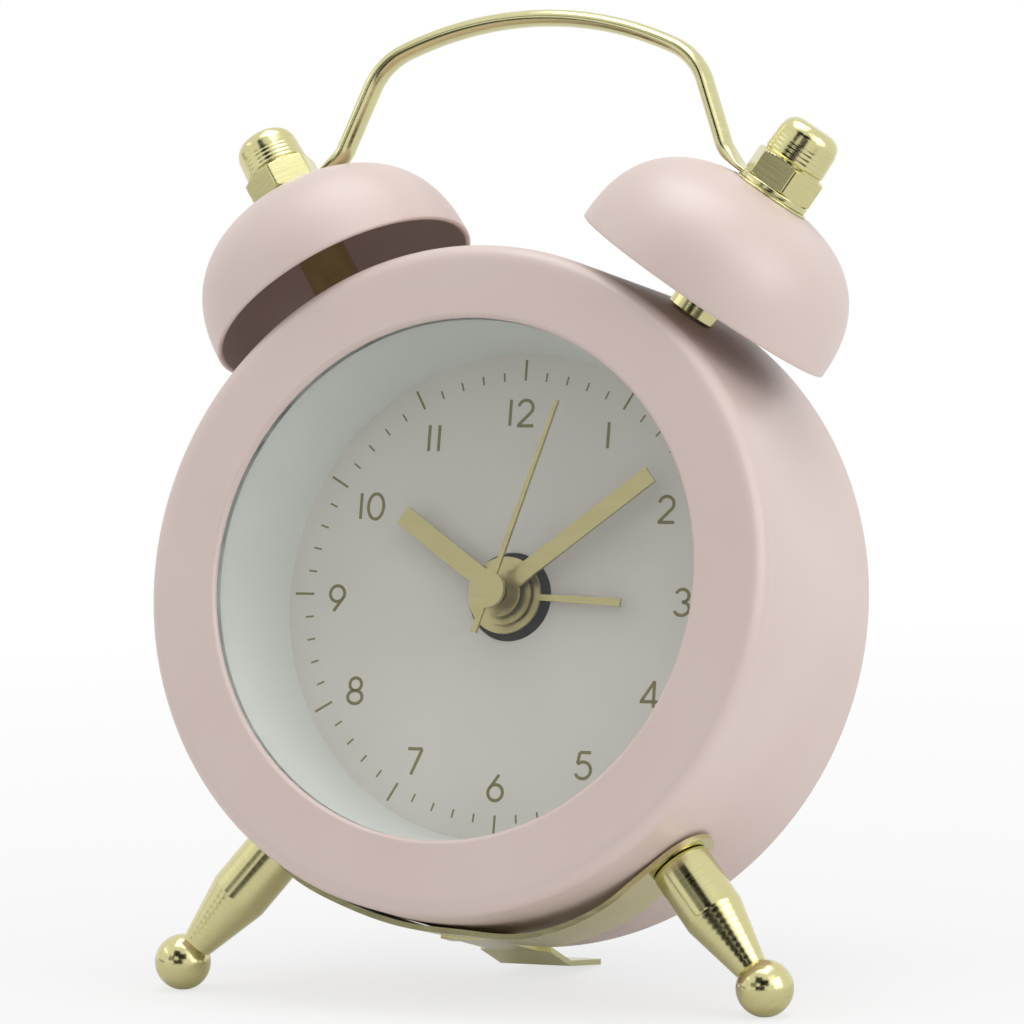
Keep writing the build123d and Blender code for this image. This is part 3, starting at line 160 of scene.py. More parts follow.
def rounded(corners, radii, steps=7):
    """A closed outline whose corners are arcs that touch both sides. The arc starts
    radius / tan(half the corner) from the corner and turns evenly about its own centre."""
    corners = np.asarray(corners, float)
    radii = np.asarray(radii, float)[:, None]
    before = unit(np.roll(corners, 1, 0) - corners)
    after = unit(np.roll(corners, -1, 0) - corners)
    half = np.arccos(np.clip((before * after).sum(1), -1, 1))[:, None] / 2
    middle = corners + unit(before + after) * radii / np.sin(half)
    start = corners + before * radii / np.tan(half) - middle
    end = corners + after * radii / np.tan(half) - middle
    sweep = (np.pi - 2 * half)[:, None]
    share = np.linspace(0, 1, steps)[None, :, None]
    arc = np.sin((1 - share) * sweep) * start[:, None] + np.sin(share * sweep) * end[:, None]
    return (middle[:, None] + arc / np.sin(sweep)).reshape(-1, 2)


def closed(outline):
    """The outline with its first point again at its end."""
    return np.concatenate((outline, outline[:1]))


def filled(path, step):
    """The path with a point added at every whole step of its length, and that length."""
    runs = np.linalg.norm(np.diff(path, axis=0), axis=1)
    length = np.concatenate(([0.0], np.cumsum(runs)))
    keep = np.unique(np.round(np.concatenate((length, np.arange(0, length[-1], step))), 5))
    return np.stack([np.interp(keep, length, side) for side in path.T], -1), keep


def swing(profile, base, along, sides=128, step=0.6, reach=None):
    """A turned surface: the point (radius, height) of the profile goes to
    base + height·along + radius·(cos a·first + sin a·side), with a once round the axis, and
    first and side square to it. Where the section isn't round, reach gives the radius at a.
    The UV map holds the share of the turn and the length along the profile in mm."""
    line, length = filled(np.asarray(profile, float), step)
    angle = np.linspace(0, 2 * np.pi, sides + 1)[None, :]
    radius = line[:, :1] if reach is None else reach(line, angle)
    radius = radius * np.ones_like(angle)
    along = np.asarray(along, float)
    first = np.array((0.0, 1.0, 0.0)) if abs(along[2]) > 0.5 else np.array((0.0, 0.0, 1.0))
    side = np.cross(along, first)
    points = np.asarray(base, float) + line[:, 1, None, None] * along
    points = points + (radius * np.cos(angle))[..., None] * first
    points = points + (radius * np.sin(angle))[..., None] * side
    mark = np.stack((angle / (2 * np.pi) + 0 * radius, length[:, None] + 0 * radius), -1)
    return points, mark


# %% [markdown]
# ## Finishes
# The case and bells carry a satin pink paint, the mounts are pale gold-plated brass, the ring
# behind the glass is a pale moulding and the dial is printed card on metal. All colours are
# written as a painter would see them on screen and turned into linear light here.

# %% Colours and small node helpers
def tint(red, green, blue):
    """A screen colour from 0 to 255 as linear light: ((c + 0.055) / 1.055) ** 2.4."""
    share = np.array((red, green, blue)) / 255
    light = np.where(share <= 0.04045, share / 12.92, ((share + 0.055) / 1.055) ** 2.4)
    return (*light.tolist(), 1.0)


def new_finish(name, **settings):
    """An empty finish with one surface shader, whose plain values are set on its sockets."""
    finish = bpy.data.materials.new(name)
    finish.use_nodes = True
    shader = finish.node_tree.nodes["Principled BSDF"]
    for socket, value in settings.items():
        shader.inputs[socket.replace("_", " ")].default_value = value
    return finish, finish.node_tree, shader


def add(tree, kind, **settings):
    """A node of that kind: inputs by name, and its own properties where no input matches."""
    node = tree.nodes.new(kind)
    for key, value in settings.items():
        label = key.replace("_", " ")
        if label in node.inputs:
            node.inputs[label].default_value = value
        else:
            setattr(node, key, value)
    return node


def speckle(tree, scale, detail=2.0, source="Object", stretch=None):
    """Noise on the piece: Object coordinates in metres, so scale counts patches per metre."""
    where = add(tree, "ShaderNodeTexCoord").outputs[source]
    if stretch is not None:
        stretched = add(tree, "ShaderNodeMapping", Scale=stretch)
        tree.links.new(where, stretched.inputs["Vector"])
        where = stretched.outputs["Vector"]
    noise = add(tree, "ShaderNodeTexNoise", Scale=scale, Detail=detail)
    tree.links.new(where, noise.inputs["Vector"])
    return noise.outputs["Fac"]


def ramp(tree, value, start, end, low, high):
    """A number that runs evenly from low to high as the value runs from start to end."""
    span = add(tree, "ShaderNodeMapRange", From_Min=start, From_Max=end, To_Min=low, To_Max=high)
    tree.links.new(value, span.inputs["Value"])
    return span.outputs["Result"]


def between(tree, share, low, high):
    """A number from low to high over the middle of a noise, where nearly all of it lies."""
    return ramp(tree, share, 0.3, 0.7, low, high)


def blend_colour(tree, shader, share, dark, light):
    """The shader's colour, mixed from dark to light by share. The mix node keeps its two
    colours in inputs 6 and 7 and the mixed one in output 2."""
    mix = add(tree, "ShaderNodeMix", data_type="RGBA")
    mix.inputs[6].default_value = dark
    mix.inputs[7].default_value = light
    tree.links.new(between(tree, share, 0.0, 1.0), mix.inputs[0])
    tree.links.new(mix.outputs[2], shader.inputs["Base Color"])


def add_bump(tree, shader, share, strength, distance):
    """Small relief in metres that only the light sees."""
    bump = add(tree, "ShaderNodeBump", Strength=strength, Distance=distance)
    tree.links.new(share, bump.inputs["Height"])
    tree.links.new(bump.outputs["Normal"], shader.inputs["Normal"])


# %% [markdown]
# ### Satin paint
# The pink coat was sprayed: from close by it has a fine orange peel, and over a larger patch the
# coat is a little thicker here and thinner there. Two noises do that, one as relief and one as
# a faint drift of colour and gloss.

# %% Pink paint, and the thin coat inside the bells
coat_patches, gloss_patches, peel_bumps, peel_height = 70, 160, 2600, 0.00002


def paint(name, dark, light, rough):
    """Sprayed satin paint with orange peel and a slow drift of colour."""
    finish, tree, shader = new_finish(name, Specular_IOR_Level=0.9)
    blend_colour(tree, shader, speckle(tree, coat_patches), dark, light)
    drift = between(tree, speckle(tree, gloss_patches), rough - 0.03, rough + 0.03)
    tree.links.new(drift, shader.inputs["Roughness"])
    add_bump(tree, shader, speckle(tree, peel_bumps, 1.0), 0.12, peel_height)
    return finish


pink_paint = paint("satin pink paint", tint(222, 201, 194), tint(226, 206, 199), 0.42)
bell_inside = paint("thin coat inside the bell", tint(190, 170, 165), tint(199, 180, 175), 0.6)
print("paints:", pink_paint.name, "and", bell_inside.name)

# %% [markdown]
# ### Pale gold brass
# Turned pieces show fine rings from the lathe, so their finish reads the UV map, where the
# second number is the length along the profile: noise stretched along the turn becomes rings.
# Pressed and bent pieces were only polished, and get long faint scratches instead.

# %% Turned brass, polished brass and hand brass
ring_stretch, polish_patches, polish_stretch = 3.0, 300, (1.0, 1.0, 7.0)
mark_height = 0.00002


def brass(name, dark, light, rough, rings):
    """Metal with rings along the profile, or with faint polishing marks where rings is 0."""
    finish, tree, shader = new_finish(name, Metallic=1.0)
    if rings:
        marks = speckle(tree, 1.0, 3.0, "UV", (ring_stretch, rings, 1.0))
    else:
        marks = speckle(tree, polish_patches, 3.0, "Object", polish_stretch)
    blend_colour(tree, shader, marks, dark, light)
    tree.links.new(between(tree, marks, rough - 0.04, rough + 0.04), shader.inputs["Roughness"])
    add_bump(tree, shader, marks, 0.10 if rings else 0.05, mark_height)
    return finish


turned_brass = brass("turned brass", tint(206, 199, 146), tint(215, 209, 157), 0.17, 9.0)
polished_brass = brass("polished brass", tint(207, 202, 152), tint(214, 209, 160), 0.18, 0.0)
hand_brass = brass("hand brass", tint(182, 170, 122), tint(190, 179, 131), 0.36, 0.0)
print("brasses:", ", ".join(kind.name for kind in (turned_brass, polished_brass, hand_brass)))

# %% [markdown]
# ### Glass
# The glass is thin, flat and clear. A full glass shader would darken the dial, because light
# from the lamps reaches it only by luck through a refracting sheet. So rays that look for a
# lamp pass straight through, and only rays that look at the glass see it.

# %% Clear glass that lets the lamps through
def show_mixed(tree, share, first, second):
    """The surface shows the first shader, and the second one in its place by share."""
    mix = add(tree, "ShaderNodeMixShader")
    tree.links.new(share, mix.inputs[0])
    tree.links.new(first.outputs[0], mix.inputs[1])
    tree.links.new(second.outputs[0], mix.inputs[2])
    tree.links.new(mix.outputs[0], tree.nodes["Material Output"].inputs["Surface"])


def clear_glass():
    """Glass mixed with a see-through shader that shadow rays take."""
    finish, tree, shader = new_finish("clear glass", IOR=1.45, Transmission_Weight=1.0)
    shader.inputs["Base Color"].default_value = tint(250, 252, 251)
    smear = between(tree, speckle(tree, 120), 0.015, 0.03)
    tree.links.new(smear, shader.inputs["Roughness"])
    through = add(tree, "ShaderNodeBsdfTransparent")
    kind = add(tree, "ShaderNodeLightPath")
    show_mixed(tree, kind.outputs["Is Shadow Ray"], shader, through)
    return finish


glass = clear_glass()
print("glass:", glass.name)

# %% [markdown]
# ### Mouldings, card and the metals inside
# Mouldings differ in how fine their tool was finished: the ring is smooth, the cover at the back
# is eroded to a fine grain, gears are glossy. The dial is a card with a faint tooth.

# %% Mouldings, dial card, print and the hidden metals
shade_patches, metal_marks = 90, 500


def moulding(name, dark, light, rough, grain, depth):
    """Moulded plastic: grain is the number of bumps per metre and depth their height."""
    finish, tree, shader = new_finish(name)
    blend_colour(tree, shader, speckle(tree, shade_patches), dark, light)
    gloss = between(tree, speckle(tree, grain), rough - 0.04, rough + 0.04)
    tree.links.new(gloss, shader.inputs["Roughness"])
    add_bump(tree, shader, speckle(tree, grain), 0.3, depth)
    return finish


def metal(name, dark, light, rough, stretch):
    """Plain metal with marks drawn out along one direction by the stretch."""
    finish, tree, shader = new_finish(name, Metallic=1.0)
    marks = speckle(tree, metal_marks, 3.0, "Object", stretch)
    blend_colour(tree, shader, marks, dark, light)
    tree.links.new(between(tree, marks, rough - 0.06, rough + 0.06), shader.inputs["Roughness"])
    add_bump(tree, shader, marks, 0.08, mark_height)
    return finish


ring_moulding = moulding(
    "pale ring moulding", tint(226, 229, 225), tint(231, 234, 230), 0.45, 900, 0.00001)
dial_card = moulding("dial card", tint(219, 213, 206), tint(223, 217, 211), 0.6, 3000, 0.00001)
dial_ink = moulding("olive ink", tint(122, 111, 58), tint(134, 123, 70), 0.5, 3000, 0.000005)
cover_moulding = moulding("back cover", tint(40, 39, 40), tint(48, 47, 48), 0.55, 2200, 0.00003)
knob_moulding = moulding("knobs", tint(34, 34, 35), tint(42, 41, 42), 0.42, 1500, 0.00001)
black_moulding = moulding("movement case", tint(12, 13, 15), tint(18, 19, 21), 0.6, 1300, 0.00002)
gear_moulding = moulding(
    "natural gear moulding", tint(222, 220, 210), tint(229, 227, 218), 0.35, 700, 0.00001)
steel = metal("plated steel", tint(178, 178, 180), tint(206, 206, 207), 0.28, (1.0, 4.0, 1.0))
magnet = metal("ferrite magnet", tint(58, 57, 60), tint(70, 69, 72), 0.5, (1.0, 1.0, 1.0))
copper = metal("copper wire", tint(176, 98, 62), tint(203, 124, 84), 0.3, (14.0, 1.0, 1.0))
board_resin = moulding("circuit board", tint(38, 92, 60), tint(48, 106, 70), 0.4, 1800, 0.00001)
chip_resin = moulding("chip resin", tint(22, 22, 24), tint(30, 30, 32), 0.3, 600, 0.00003)
print("finishes so far:", len(bpy.data.materials))

# %% [markdown]
# ### Gears with a brass pipe
# The wheels that carry the hands are moulded round a brass pipe, and only the pipe shows, in the
# hole of the dial. A second piece could stand for it, but the solid already has its shape. So
# one finish changes from gear moulding to brass at the depth where the moulding ends.

# %% Gears with a brass pipe
pipe_start, change_length = 0.0143, 0.0001


def brass_ended():
    """Gear moulding whose pipe is brass. A point's depth is its place times the back direction,
    and before the pipe's start the metal share is 1 and behind it 0."""
    finish, tree, shader = new_finish("gear with brass pipe", Roughness=0.34)
    where = add(tree, "ShaderNodeTexCoord").outputs["Object"]
    depth = add(tree, "ShaderNodeVectorMath", operation="DOT_PRODUCT")
    depth.inputs[1].default_value = back.tolist()
    tree.links.new(where, depth.inputs[0])
    start = float(centre @ back) + pipe_start
    end = start + change_length
    behind = ramp(tree, depth.outputs["Value"], start, end, 0.0, 1.0)
    ahead = ramp(tree, depth.outputs["Value"], start, end, 1.0, 0.0)
    blend_colour(tree, shader, behind, tint(186, 170, 120), tint(226, 224, 215))
    tree.links.new(ahead, shader.inputs["Metallic"])
    add_bump(tree, shader, speckle(tree, 700), 0.2, 0.00001)
    return finish


piped_gear = brass_ended()
print("pipe starts at a depth of", pipe_start * 1000, "mm")

# %% [markdown]
# ## The drum
# The case is one sheet drawn into a drum, turned in at the front to make the bezel and turned
# in again at the back for the cover. One closed profile of the sheet, with every bend rounded
# inside and outside, swung once round the axis, gives both skins and both edges at once.

# %% Drum with bezel and rear lip
case_radius, case_flare, case_depth, case_wall = 30.0, 0.85, 23.7, 0.6
opening_radius, rear_lip = 23.3, 1.4
front_round, rear_round, opening_round, lip_round, inner_round = 1.5, 0.9, 0.45, 0.2, 0.1
rear_radius = case_radius + case_flare
drum_profile = closed(rounded(
    [(opening_radius, 0), (case_radius, 0), (rear_radius, case_depth),
     (rear_radius - rear_lip, case_depth), (rear_radius - rear_lip, case_depth - case_wall),
     (rear_radius - case_wall, case_depth - case_wall), (case_radius - case_wall, case_wall),
     (opening_radius, case_wall)],
    [opening_round, front_round, rear_round, lip_round, lip_round, rear_round - case_wall,
     front_round - case_wall, inner_round]))
drum = make_piece(
    "drum", [(*swing(drum_profile, (0, 0, 0), (0, 0, 1), 256, 0.8), 0)], [pink_paint], "clock")
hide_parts("case_shell")

# %% [markdown]
# ## The bells
# Each bell is spun from thin sheet: full and round at the shoulder, flat at the crown where the
# post's stud goes through, and open below. Its outside has the full coat of paint and its inside
# only a thin one, so the two skins are separate grids, with a finish each, that meet at the rim
# and at the hole.

# %% Bells
bell_angle, bell_depth = 33.4, 10.9
bell_rim, bell_radius, bell_height, bell_wall = 32.4, 12.85, 10.75, 0.5
fullness, crown_share, stud_hole = 2.5, 0.32, 1.25
rise_power, rim_bulge = 1.6, 0.12


def spoke(angle):
    """The direction straight out of the case at an angle clockwise from twelve."""
    turn_angle = radians(angle)
    return np.array((np.sin(turn_angle), np.cos(turn_angle), 0.0))


def bell_curve(radius, height, steps=40):
    """From rim to crown: radius × (1 − (rise·k)^n)^(1/n) at rim + height × rise, where n is the
    fullness, k makes the curve end at the flat crown, and the steps get finer towards it."""
    top = (1 - crown_share ** fullness) ** (1 / fullness)
    rise = 1 - (1 - np.linspace(0, 1, steps)) ** rise_power
    wide = radius * (1 - (rise * top) ** fullness) ** (1 / fullness)
    return np.stack((wide, bell_rim + height * rise), -1)


def make_bell(side):
    """The outer skin from the middle of the rim up to the hole, and the inner skin back. The rim
    is half an ellipse: half the wall × cos a across and the bulge × sin a downwards."""
    outside = bell_curve(bell_radius, bell_height)
    inside = bell_curve(bell_radius - bell_wall, bell_height - bell_wall)
    lip = np.linspace(0, np.pi, 9)[:, None]
    edge = np.hstack((bell_radius - bell_wall / 2 + bell_wall / 2 * np.cos(lip),
                      bell_rim + rim_bulge - rim_bulge * np.sin(lip)))
    outside[0], inside[0] = edge[0], edge[-1]
    hole_top = np.array([(stud_hole, bell_rim + bell_height)])
    hole_low = np.array([(stud_hole, bell_rim + bell_height - bell_wall)])
    outer = np.concatenate((edge[4::-1], outside[1:], hole_top))
    inner = np.concatenate((edge[4:], inside[1:], hole_low, hole_top))
    axis = spoke(side * bell_angle)
    middle = (0, 0, bell_depth)
    return [(*swing(outer, middle, axis, 160), 0), (*swing(inner, middle, axis, 160), 1)]


for word, side in (("left", -1), ("right", 1)):
    bell = make_piece(f"spun_bell_{word}", make_bell(side), [pink_paint, bell_inside], "clock")
    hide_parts(f"bell_{word}")

# %% [markdown]
# ## Posts and washers
# A turned brass post holds each bell away from the drum, and its stud goes on through bell,
# washer and handle into the nut. Cylinders would do for the shape, but the edges of turned and
# pressed pieces catch the light, so both are rounded profiles swung round their axis.

# %% Posts and washers
post_foot, post_radius, stud_radius, stud_top = 30.467, 2.3, 1.2, 48.0
foot_round, head_round, stud_round = 0.15, 0.12, 0.3
crown = bell_rim + bell_height
washer_radius, washer_thickness, washer_rounds = 3.6, 0.25, (0.03, 0.08, 0.1, 0.03)


def turn_pair(profile, angles, depth, sides=96, step=0.4):
    """The same turned piece at each of the angles round the case."""
    return [(*swing(profile, (0, 0, depth), spoke(angle), sides, step), 0) for angle in angles]


bell_angles = (-bell_angle, bell_angle)
post_profile = rounded(
    [(0, post_foot), (post_radius, post_foot), (post_radius, crown - bell_wall),
     (stud_radius, crown - bell_wall), (stud_radius, stud_top), (0, stud_top)],
    [0, foot_round, head_round, 0, stud_round, 0])
posts = make_piece(
    "turned_posts", turn_pair(post_profile, bell_angles, bell_depth), [turned_brass], "clock")
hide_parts("bell_posts")
washer_profile = closed(rounded(
    [(stud_hole, crown), (washer_radius, crown), (washer_radius, crown + washer_thickness),
     (stud_hole, crown + washer_thickness)], washer_rounds))
washers = make_piece(
    "pressed_washers", turn_pair(washer_profile, bell_angles, bell_depth),
    [polished_brass], "clock")
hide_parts("bell_washers")

# %% [markdown]
# ## The cap nuts
# A domed cap nut clamps each bell. It has a hexagon for the spanner and above it a round,
# slightly tapered cap with fine grooves. A cone cut by a hexagon would need a boolean. Here the
# nut is swung like the rest, and on the hexagon its radius depends on the angle as well.

# %% Cap nuts
eyelet_foot, eyelet_thickness, eyelet_radius = crown + washer_thickness, 0.6, 3.4
nut_foot = eyelet_foot + eyelet_thickness
hex_height, across_flats, nut_height = 2.6, 6.2, 6.5
nut_turns = (37.0, 5.5)
hex_corner = across_flats / np.sqrt(3)
hex_excess, chamfer_rise, foot_chamfer, head_chamfer = 0.01, 0.22, 0.35, 0.45
cap_foot, cap_top, top_round, neck_in, neck_rise = 3.0, 2.8, 1.35, 0.13, 0.2
groove_start, groove_end, groove_fade = 0.35, 4.6, 0.3
groove_pitch, groove_deep = 0.42, 0.014


def nut_reach(turned):
    """Radius of a nut left at that turn: the smaller of the profile and, on the hexagon, half
    the width across flats divided by the cosine of the angle from the nearest flat's middle."""
    def reach(line, angle):
        from_flat = (angle + radians(turned) + np.pi / 6) % (np.pi / 3) - np.pi / 6
        flat = (across_flats / 2) / np.cos(from_flat)
        on_hex = line[:, 1:] < nut_foot + hex_height + 0.001
        return np.where(on_hex, np.minimum(line[:, :1], flat), line[:, :1])
    return reach


def cap_profile():
    """Chamfered hexagon part, a step in, then the grooved taper and the domed top. A groove's
    depth is half its greatest × (1 − cos of its phase), and the grooves fade out upwards. The
    dome's edge is a quarter circle."""
    low, high = nut_foot, nut_foot + hex_height
    shoulder = low + nut_height - top_round
    level = np.linspace(high + groove_start, shoulder, 90)
    taper = cap_foot - (cap_foot - cap_top) * (level - high) / (nut_height - hex_height)
    groove = groove_deep * (0.5 - 0.5 * np.cos(2 * np.pi * (level - level[0]) / groove_pitch))
    groove = groove * np.clip((low + groove_end - level) / groove_fade, 0, 1)
    grooved = np.stack((taper - groove, level), -1)
    turn_in = np.linspace(0, np.pi / 2, 12)
    dome = np.stack((cap_top - top_round + top_round * np.cos(turn_in),
                     shoulder + top_round * np.sin(turn_in)), -1)
    widest, neck = hex_corner + hex_excess, cap_foot - neck_in
    hexagon = [(stud_hole, low), (hex_corner - foot_chamfer, low), (widest, low + chamfer_rise),
               (widest, high - chamfer_rise), (hex_corner - head_chamfer, high),
               (neck, high), (neck, high + neck_rise)]
    return np.concatenate((hexagon, grooved, dome, [(0.0, low + nut_height)]))


nut_sheets = [
    (*swing(cap_profile(), (0, 0, bell_depth), spoke(angle), 180, 0.12, nut_reach(turned)), 0)
    for angle, turned in zip(bell_angles, nut_turns)]
nuts = make_piece("domed_cap_nuts", nut_sheets, [turned_brass], "clock", 32)
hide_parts("cap_nuts")

# %% [markdown]
# ## The handle
# The handle is one bar, bent hot round a former and hammered flat at both ends. Its line is
# drawn by its curvature: an arc over the top, a tighter arc at each shoulder, a straight leg,
# a bend and a short foot along the bell's crown. Adding up the curvature gives the heading,
# and adding up the heading gives the line. The section is an ellipse that thins into a tongue.

# %% Handle
handle_top, half_thick, half_broad = 52.9, 0.75, 1.25
tongue_length, tongue_blend, tongue_spread, tongue_square = 6.2, 2.6, 0.35, 1.6
top_radius, shoulder_radius, foot_radius = 33.0, 6.1, 2.2
top_sweep, shoulder_sweep, foot_sweep = radians(24.038), radians(44.762), radians(35.4)
leg_run, foot_run = 6.1641, 5.4979
bends = np.array([(-1 / top_radius, top_sweep * top_radius),
                  (-1 / shoulder_radius, shoulder_sweep * shoulder_radius), (0.0, leg_run),
                  (1 / foot_radius, foot_sweep * foot_radius), (0.0, foot_run)])


def handle_line(step=0.05):
    """Right half of the handle from its top: heading = sum of curvature × step, point = sum of
    (cos heading, sin heading) × step."""
    ends = np.cumsum(bends[:, 1])
    along = np.linspace(0, ends[-1], int(ends[-1] / step) + 1)
    pace = along[1]
    curvature = bends[np.searchsorted(ends, along - pace / 2).clip(0, 4), 0]
    heading = np.concatenate(([0.0], np.cumsum(curvature[1:] * pace)))
    half = heading[:-1] + np.diff(heading) / 2
    x = np.concatenate(([0.0], np.cumsum(np.cos(half) * pace)))
    high = handle_top + np.concatenate(([0.0], np.cumsum(np.sin(half) * pace)))
    return np.stack((x, high), -1), heading, ends[-1] - along


def make_handle():
    """A section carried along the whole line: |sin a|^p × half the breadth across and |cos a|^p ×
    half the thickness outwards, an ellipse where p is 1. Towards the stud p falls, which squares
    the section, and it gets thinner while its middle moves inwards by as much, so that its
    underside stays on the washer."""
    line, heading, left = handle_line()
    keep = slice(0, None, 5)
    line, heading, left = line[keep], heading[keep], left[keep]
    flat = np.clip((tongue_length - left) / tongue_blend, 0, 1)
    flat = flat * flat * (3 - 2 * flat)
    thick = half_thick + (eyelet_thickness / 2 - half_thick) * flat
    broad = half_broad + tongue_spread * flat
    normal = np.stack((-np.sin(heading), np.cos(heading)), -1)
    line = line - normal * (half_thick - thick)[:, None]
    mirror = np.array((-1.0, 1.0))
    line = np.concatenate((line[:0:-1] * mirror, line))
    normal = np.concatenate((normal[:0:-1] * mirror, normal))
    thick, broad = (np.concatenate((part[:0:-1], part)) for part in (thick, broad))
    angle = np.linspace(0, 2 * np.pi, 41)
    power = 2 / (2 + tongue_square * np.concatenate((flat[:0:-1], flat)))[:, None]
    across = np.sign(np.sin(angle)) * np.abs(np.sin(angle)) ** power * broad[:, None]
    lift = np.sign(np.cos(angle)) * np.abs(np.cos(angle)) ** power * thick[:, None]
    points = np.concatenate((line[:, None] + lift[..., None] * normal[:, None],
                             bell_depth + across[..., None]), -1)
    run = np.linspace(0, 1, len(line))[:, None] + 0 * across
    around = np.broadcast_to(angle / (2 * np.pi), across.shape)
    cap = points.mean(axis=1, keepdims=True)
    points = np.concatenate((0 * points[:1] + cap[:1], points, 0 * points[:1] + cap[-1:]))
    mark = np.stack((around, run), -1)
    return points, np.concatenate((mark[:1], mark, mark[-1:]))


eyelet_rounds = (0.02, 0.12, 0.12, 0.02)
eyelet_profile = closed(rounded(
    [(stud_hole, eyelet_foot), (eyelet_radius, eyelet_foot), (eyelet_radius, nut_foot),
     (stud_hole, nut_foot)], eyelet_rounds))
handle = make_piece(
    "bent_handle",
    [(*make_handle(), 0)] + turn_pair(eyelet_profile, bell_angles, bell_depth),
    [polished_brass], "clock")
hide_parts("handle")

# %% [markdown]
# ## The legs
# Each leg is turned from one rod: a cylinder, a long taper with fine marks left by the tool, a
# narrow neck and a ball. The ball is cut flat where it stands, so every point below the floor
# is lifted to it.

# %% Legs
leg_angle, leg_depth = 39.8, 9.7
leg_foot, leg_shoulder, ball_reach = 30.997, 36.647, 44.727
leg_radius, neck_radius, ball_radius = 2.75, 1.45, 2.55
edge_width, edge_bulge, tool_mark_depth, tool_marks = 0.35, 0.1, 0.006, 10


def leg_profile():
    """Cylinder, taper, neck and ball as (radius, reach). The taper is a straight line less half
    the mark's depth × (1 − cos of its phase), and the ball is radius × (sin a, −cos a)."""
    neck_end = ball_reach - np.sqrt(ball_radius ** 2 - neck_radius ** 2)
    level = np.linspace(leg_shoulder, neck_end, 80)
    share = (level - leg_shoulder) / (neck_end - leg_shoulder)
    taper = leg_radius + (neck_radius - leg_radius) * share
    taper = taper - tool_mark_depth * (0.5 - 0.5 * np.cos(2 * np.pi * share * tool_marks))
    polar_angle = np.linspace(np.arcsin(neck_radius / ball_radius), np.pi, 40)
    ball = np.stack((ball_radius * np.sin(polar_angle),
                     ball_reach - ball_radius * np.cos(polar_angle)), -1)
    top = [(0.0, leg_foot), (leg_radius - edge_width, leg_foot),
           (leg_radius - edge_bulge, leg_foot + edge_bulge),
           (leg_radius, leg_foot + edge_width), (leg_radius, leg_shoulder)]
    return np.concatenate((top, np.stack((taper, level), -1), ball))


def stand_on_floor(points):
    """Points below the floor are moved straight up to it."""
    world = place(points)
    world[..., 2] = np.maximum(world[..., 2], 0.0)
    return (world - centre) @ np.linalg.inv(np.stack((right, up, back))) * 1000


for word, side in (("left", -1), ("right", 1)):
    points, mark = swing(leg_profile(), (0, 0, leg_depth), spoke(180 - side * leg_angle), 128, 0.3)
    sheet = (stand_on_floor(points), mark, 0)
    leg = make_piece(f"turned_leg_{word}", [sheet], [turned_brass], "clock")
    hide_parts(f"leg_{word}")

# %% [markdown]
# ## The dial print
# Ticks and numbers are printed on the card in one colour. Blender's text tool could set the
# numbers, but its letters have strokes of uneven width, and this dial has thin drawn numerals.
# So each number is a few strokes of one width, lines and arcs, laid down as flat ribbons.

# %% Ribbons of ink
ink_depth, ink_thickness, stroke, bar_step = 13.4, 0.015, 0.30, 0.04


def ribbon(path, width):
    """A flat band along the path: half the width to each side of it, a hair thick, with each
    end drawn together to a point so that the band is closed."""
    path = np.asarray(path, float)
    heading = unit(np.gradient(path, axis=0))
    side = np.stack((-heading[:, 1], heading[:, 0]), -1) * width / 2
    across = np.array((-1.0, 1.0, 1.0, -1.0, -1.0))[None, :, None]
    depth = ink_depth - ink_thickness * np.array((1.0, 1.0, 0.0, 0.0, 1.0))
    flat = path[:, None] + side[:, None] * across
    points = np.concatenate((flat, np.broadcast_to(depth, flat.shape[:2])[..., None]), -1)
    cap = points.mean(axis=1, keepdims=True)
    points = np.concatenate((0 * points[:1] + cap[:1], points, 0 * points[:1] + cap[-1:]))
    rows, columns = points.shape[:2]
    return points, np.zeros((rows, columns, 2)) + np.linspace(0, 1, rows)[:, None, None]


def bar(*corners):
    """Straight runs between the corners, with a point every small step so that bends stay even."""
    return filled(np.asarray(corners, float), bar_step)[0]


def arc(x, high, wide, tall, start, end):
    """Part of an ellipse from one angle to another, anticlockwise from three o'clock."""
    angle = np.radians(np.linspace(start, end, 24))
    return np.stack((x + wide * np.cos(angle), high + tall * np.sin(angle)), -1)


print("a straight stroke of a numeral has", len(bar((0.0, 0.0), (0.0, 1.0))), "points")

# %% [markdown]
# ### The numerals
# The dial has thin upright numbers without serifs, set at measured spots and not turned. Each
# figure is drawn once, in a cell one unit high that stands on its line, and then placed and
# enlarged, so that equal figures are equal everywhere.

